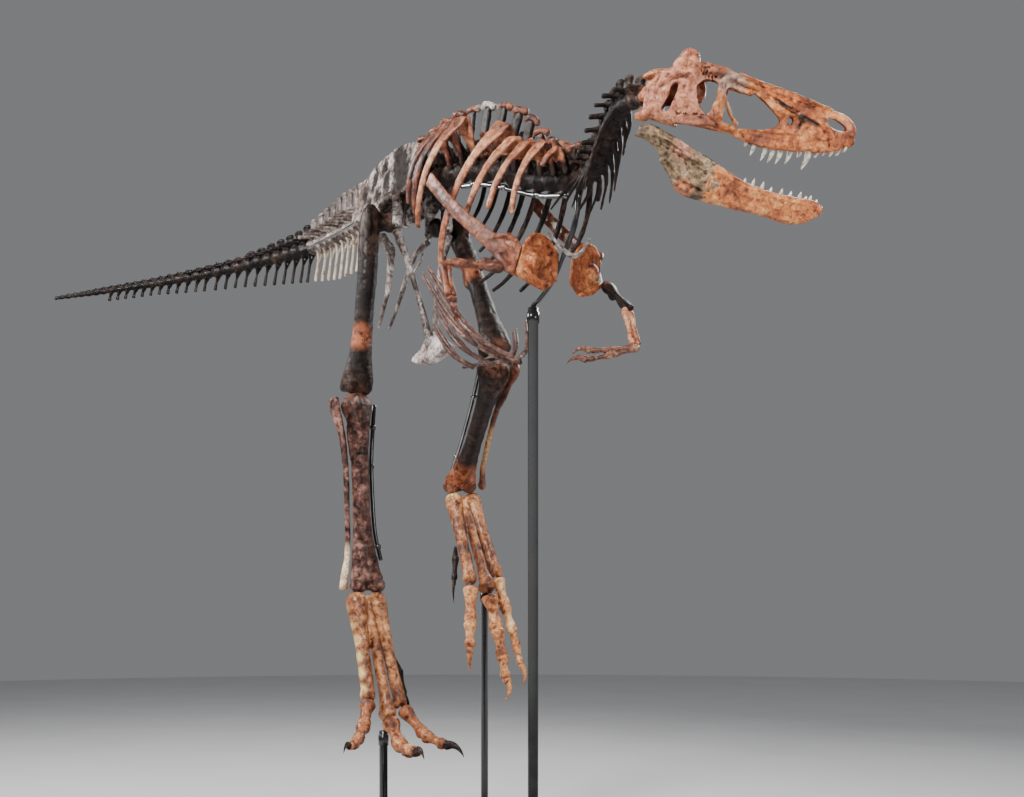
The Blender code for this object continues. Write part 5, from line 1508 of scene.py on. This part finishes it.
def flat_sided(clay):
    """Mesh whose sharp rims keep flat faces beside them."""
    data = clay.mesh()
    tool = bmesh.new()
    tool.from_mesh(data)
    sharp = [e for e in tool.edges if len(e.link_faces) == 2 and e.calc_face_angle(0.0)
        > math.radians(32)]
    bmesh.ops.bevel(tool, geom=sharp, offset=0.0006, segments=2, affect="EDGES",
        clamp_overlap=True)
    tool.to_mesh(data)
    tool.free()
    return data


def make_bars():
    paint = painted_steel("bar_paint", 0.008, 0.20)
    bright = bare_steel("bar_steel")
    clay = Clay()
    points = []
    for place in (0.8, 3.0, 6.0, 9.0, 11.5):
        point, forward, left, up = station(TAIL, place)
        points.append(point - left * (at(TAIL_RADIUS, place) + 0.011) - up * 0.012)
    clay.tube(points, [0.0064] * 5, sides=20, dome=0.3)
    piece("tail_rod", [(clay, bare_steel("tail_rod_steel", 0.50, 0.66), 0, 0, 0)],
        ["stand_tail_rod"], "steel_black")
    clay = Clay()
    clay.tube(mm((550, 100, 2184), (568, 102, 2196), (595, 105, 2204), (686, 110, 2257),
        (758, 120, 2354), (815, 126, 2440), (822, 132, 2540)), [0.0088] * 7, sides=24,
        dome=0.3, step=0.010)
    piece("chest_tube", [(clay, paint, 0, 0, 0)], ["stand_chest_tube"], "steel_black")
    clay = Clay()
    points = []
    for place in (9.0, 11.0, 13.0, 15.0, 17.0):
        point, forward, left, up = station(FRONT, place)
        points.append(point - up * (at(CENTRUM_RADIUS, place) + 0.014))
    clay.tube(points, [0.0092] * 5, sides=24, dome=0.3)
    for place in (10.0, 12.5, 15.0):
        point, forward, left, up = station(FRONT, place)
        middle = point - up * (at(CENTRUM_RADIUS, place) + 0.012)
        clay.tube((middle - forward * 0.012, middle + forward * 0.012), (0.0125, 0.0125),
            sides=24, dome=0.1)
    piece("spine_tube", [(clay, bright, 0, 0, 0)], ["stand_spine_tube"], "steel_black")
    for name, sign in SIDES.items():
        pose = LEG_POSE[name]
        hip = HIPS + Vector((0.0, sign * HIP_SPACING * 0.5, 0.0))
        knee = hip + direction(*pose["femur"]) * FEMUR
        _, down, front, out = leg_frame(knee, *pose["tibia"], sign, SHIN_FRONT[name])
        path = [knee + down * d - front * f - out * o for d, f, o in SHIN_BARS[name]]
        clay = Clay()
        clay.tube(path, [0.0090] * 5, sides=24, dome=0.3)
        for middle in (path[1], path[2], path[3].lerp(path[4], 0.6)):
            clay.tube((middle - down * 0.010, middle + down * 0.010), (0.0120, 0.0120),
                sides=24, dome=0.1)
            clay.tube((middle, middle + out * 0.022 + front * 0.006), (0.0050, 0.0050),
                sides=16, dome=0.1)
        piece("shin_bar_" + name, [(clay, bright if sign > 0 else paint, 0, 0, 0)],
            ["stand_shin_bar_" + name], "steel_black")


# ---------------------------------------------------------------- studio scene

FLOOR_RADIUS, FLOOR_CORNERS = 14.0, 96
AMBIENT = 0.25
LAMPS = (     # place, aim, size, watts
    ((2.4, -3.8, 5.0), (0.1, 0.0, 1.9), 1.5, 520.0),
    ((4.8, 1.4, 3.0), (0.3, 0.0, 1.9), 1.4, 130.0),
    ((-3.0, -3.2, 4.6), (-1.4, 0.0, 2.2), 1.4, 260.0),
    ((-1.4, 3.8, 4.6), (0.0, 0.0, 2.0), 1.4, 160.0))
CAMERA, CAMERA_TURN = (5.158, -2.441, 1.064), 28.0
LENS, SENSOR, LENS_SHIFT = 48.5, 36.0, 0.1968


def make_studio():
    g = Graph("studio_floor")
    wide = g.noise(1.5, 3.0)
    g.link(g.ramp(wide.outputs[0], ((0.3, (0.60, 0.60, 0.61)), (0.7, (0.64, 0.64, 0.65)))),
        "Base Color")
    g.shader.inputs["Roughness"].default_value = 0.6
    ring = [(FLOOR_RADIUS * math.cos(t), FLOOR_RADIUS * math.sin(t), 0.0) for t
        in [2 * math.pi * k / FLOOR_CORNERS for k in range(FLOOR_CORNERS)]]
    data = bpy.data.meshes.new("floor")
    data.from_pydata(ring, [], [tuple(range(FLOOR_CORNERS))])
    data.materials.append(g.material)
    floor = bpy.data.objects.new("floor", data)
    bpy.context.scene.collection.objects.link(floor)

    world = bpy.data.worlds.new("studio")
    world.use_nodes = True
    back = world.node_tree.nodes["Background"]
    back.inputs["Color"].default_value = (0.80, 0.81, 0.83, 1.0)
    back.inputs["Strength"].default_value = AMBIENT
    bpy.context.scene.world = world
    for place, aim, size, power in LAMPS:
        lamp = bpy.data.lights.new("soft", "AREA")
        lamp.energy, lamp.size = power, size
        item = bpy.data.objects.new("soft", lamp)
        item.location = place
        aimed = (Vector(aim) - Vector(place)).to_track_quat("-Z", "Y")
        item.rotation_euler = aimed.to_euler()
        bpy.context.scene.collection.objects.link(item)

    lens = bpy.data.cameras.new("view")
    lens.lens, lens.sensor_width, lens.shift_y = LENS, SENSOR, LENS_SHIFT
    lens.clip_end = 60.0
    camera = bpy.data.objects.new("view", lens)
    turn = math.radians(CAMERA_TURN)
    s, c = math.sin(turn), math.cos(turn)
    camera.matrix_world = Matrix.Translation(CAMERA) @ Matrix(((s, 0, c), (c, 0, -s),
        (0, 1, 0))).to_4x4()
    bpy.context.scene.collection.objects.link(camera)
    bpy.context.scene.camera = camera


make_neck()
make_back()
make_sacrum()
make_tail()
make_rib_cages()
make_gastralia()
make_skull()
make_jaws()
make_shoulders()
make_arms()
make_pelvis()
for side_name, side_sign in SIDES.items():
    make_toes(side_name, side_sign, make_leg(side_name, side_sign))
make_stand()
make_bars()
make_studio()
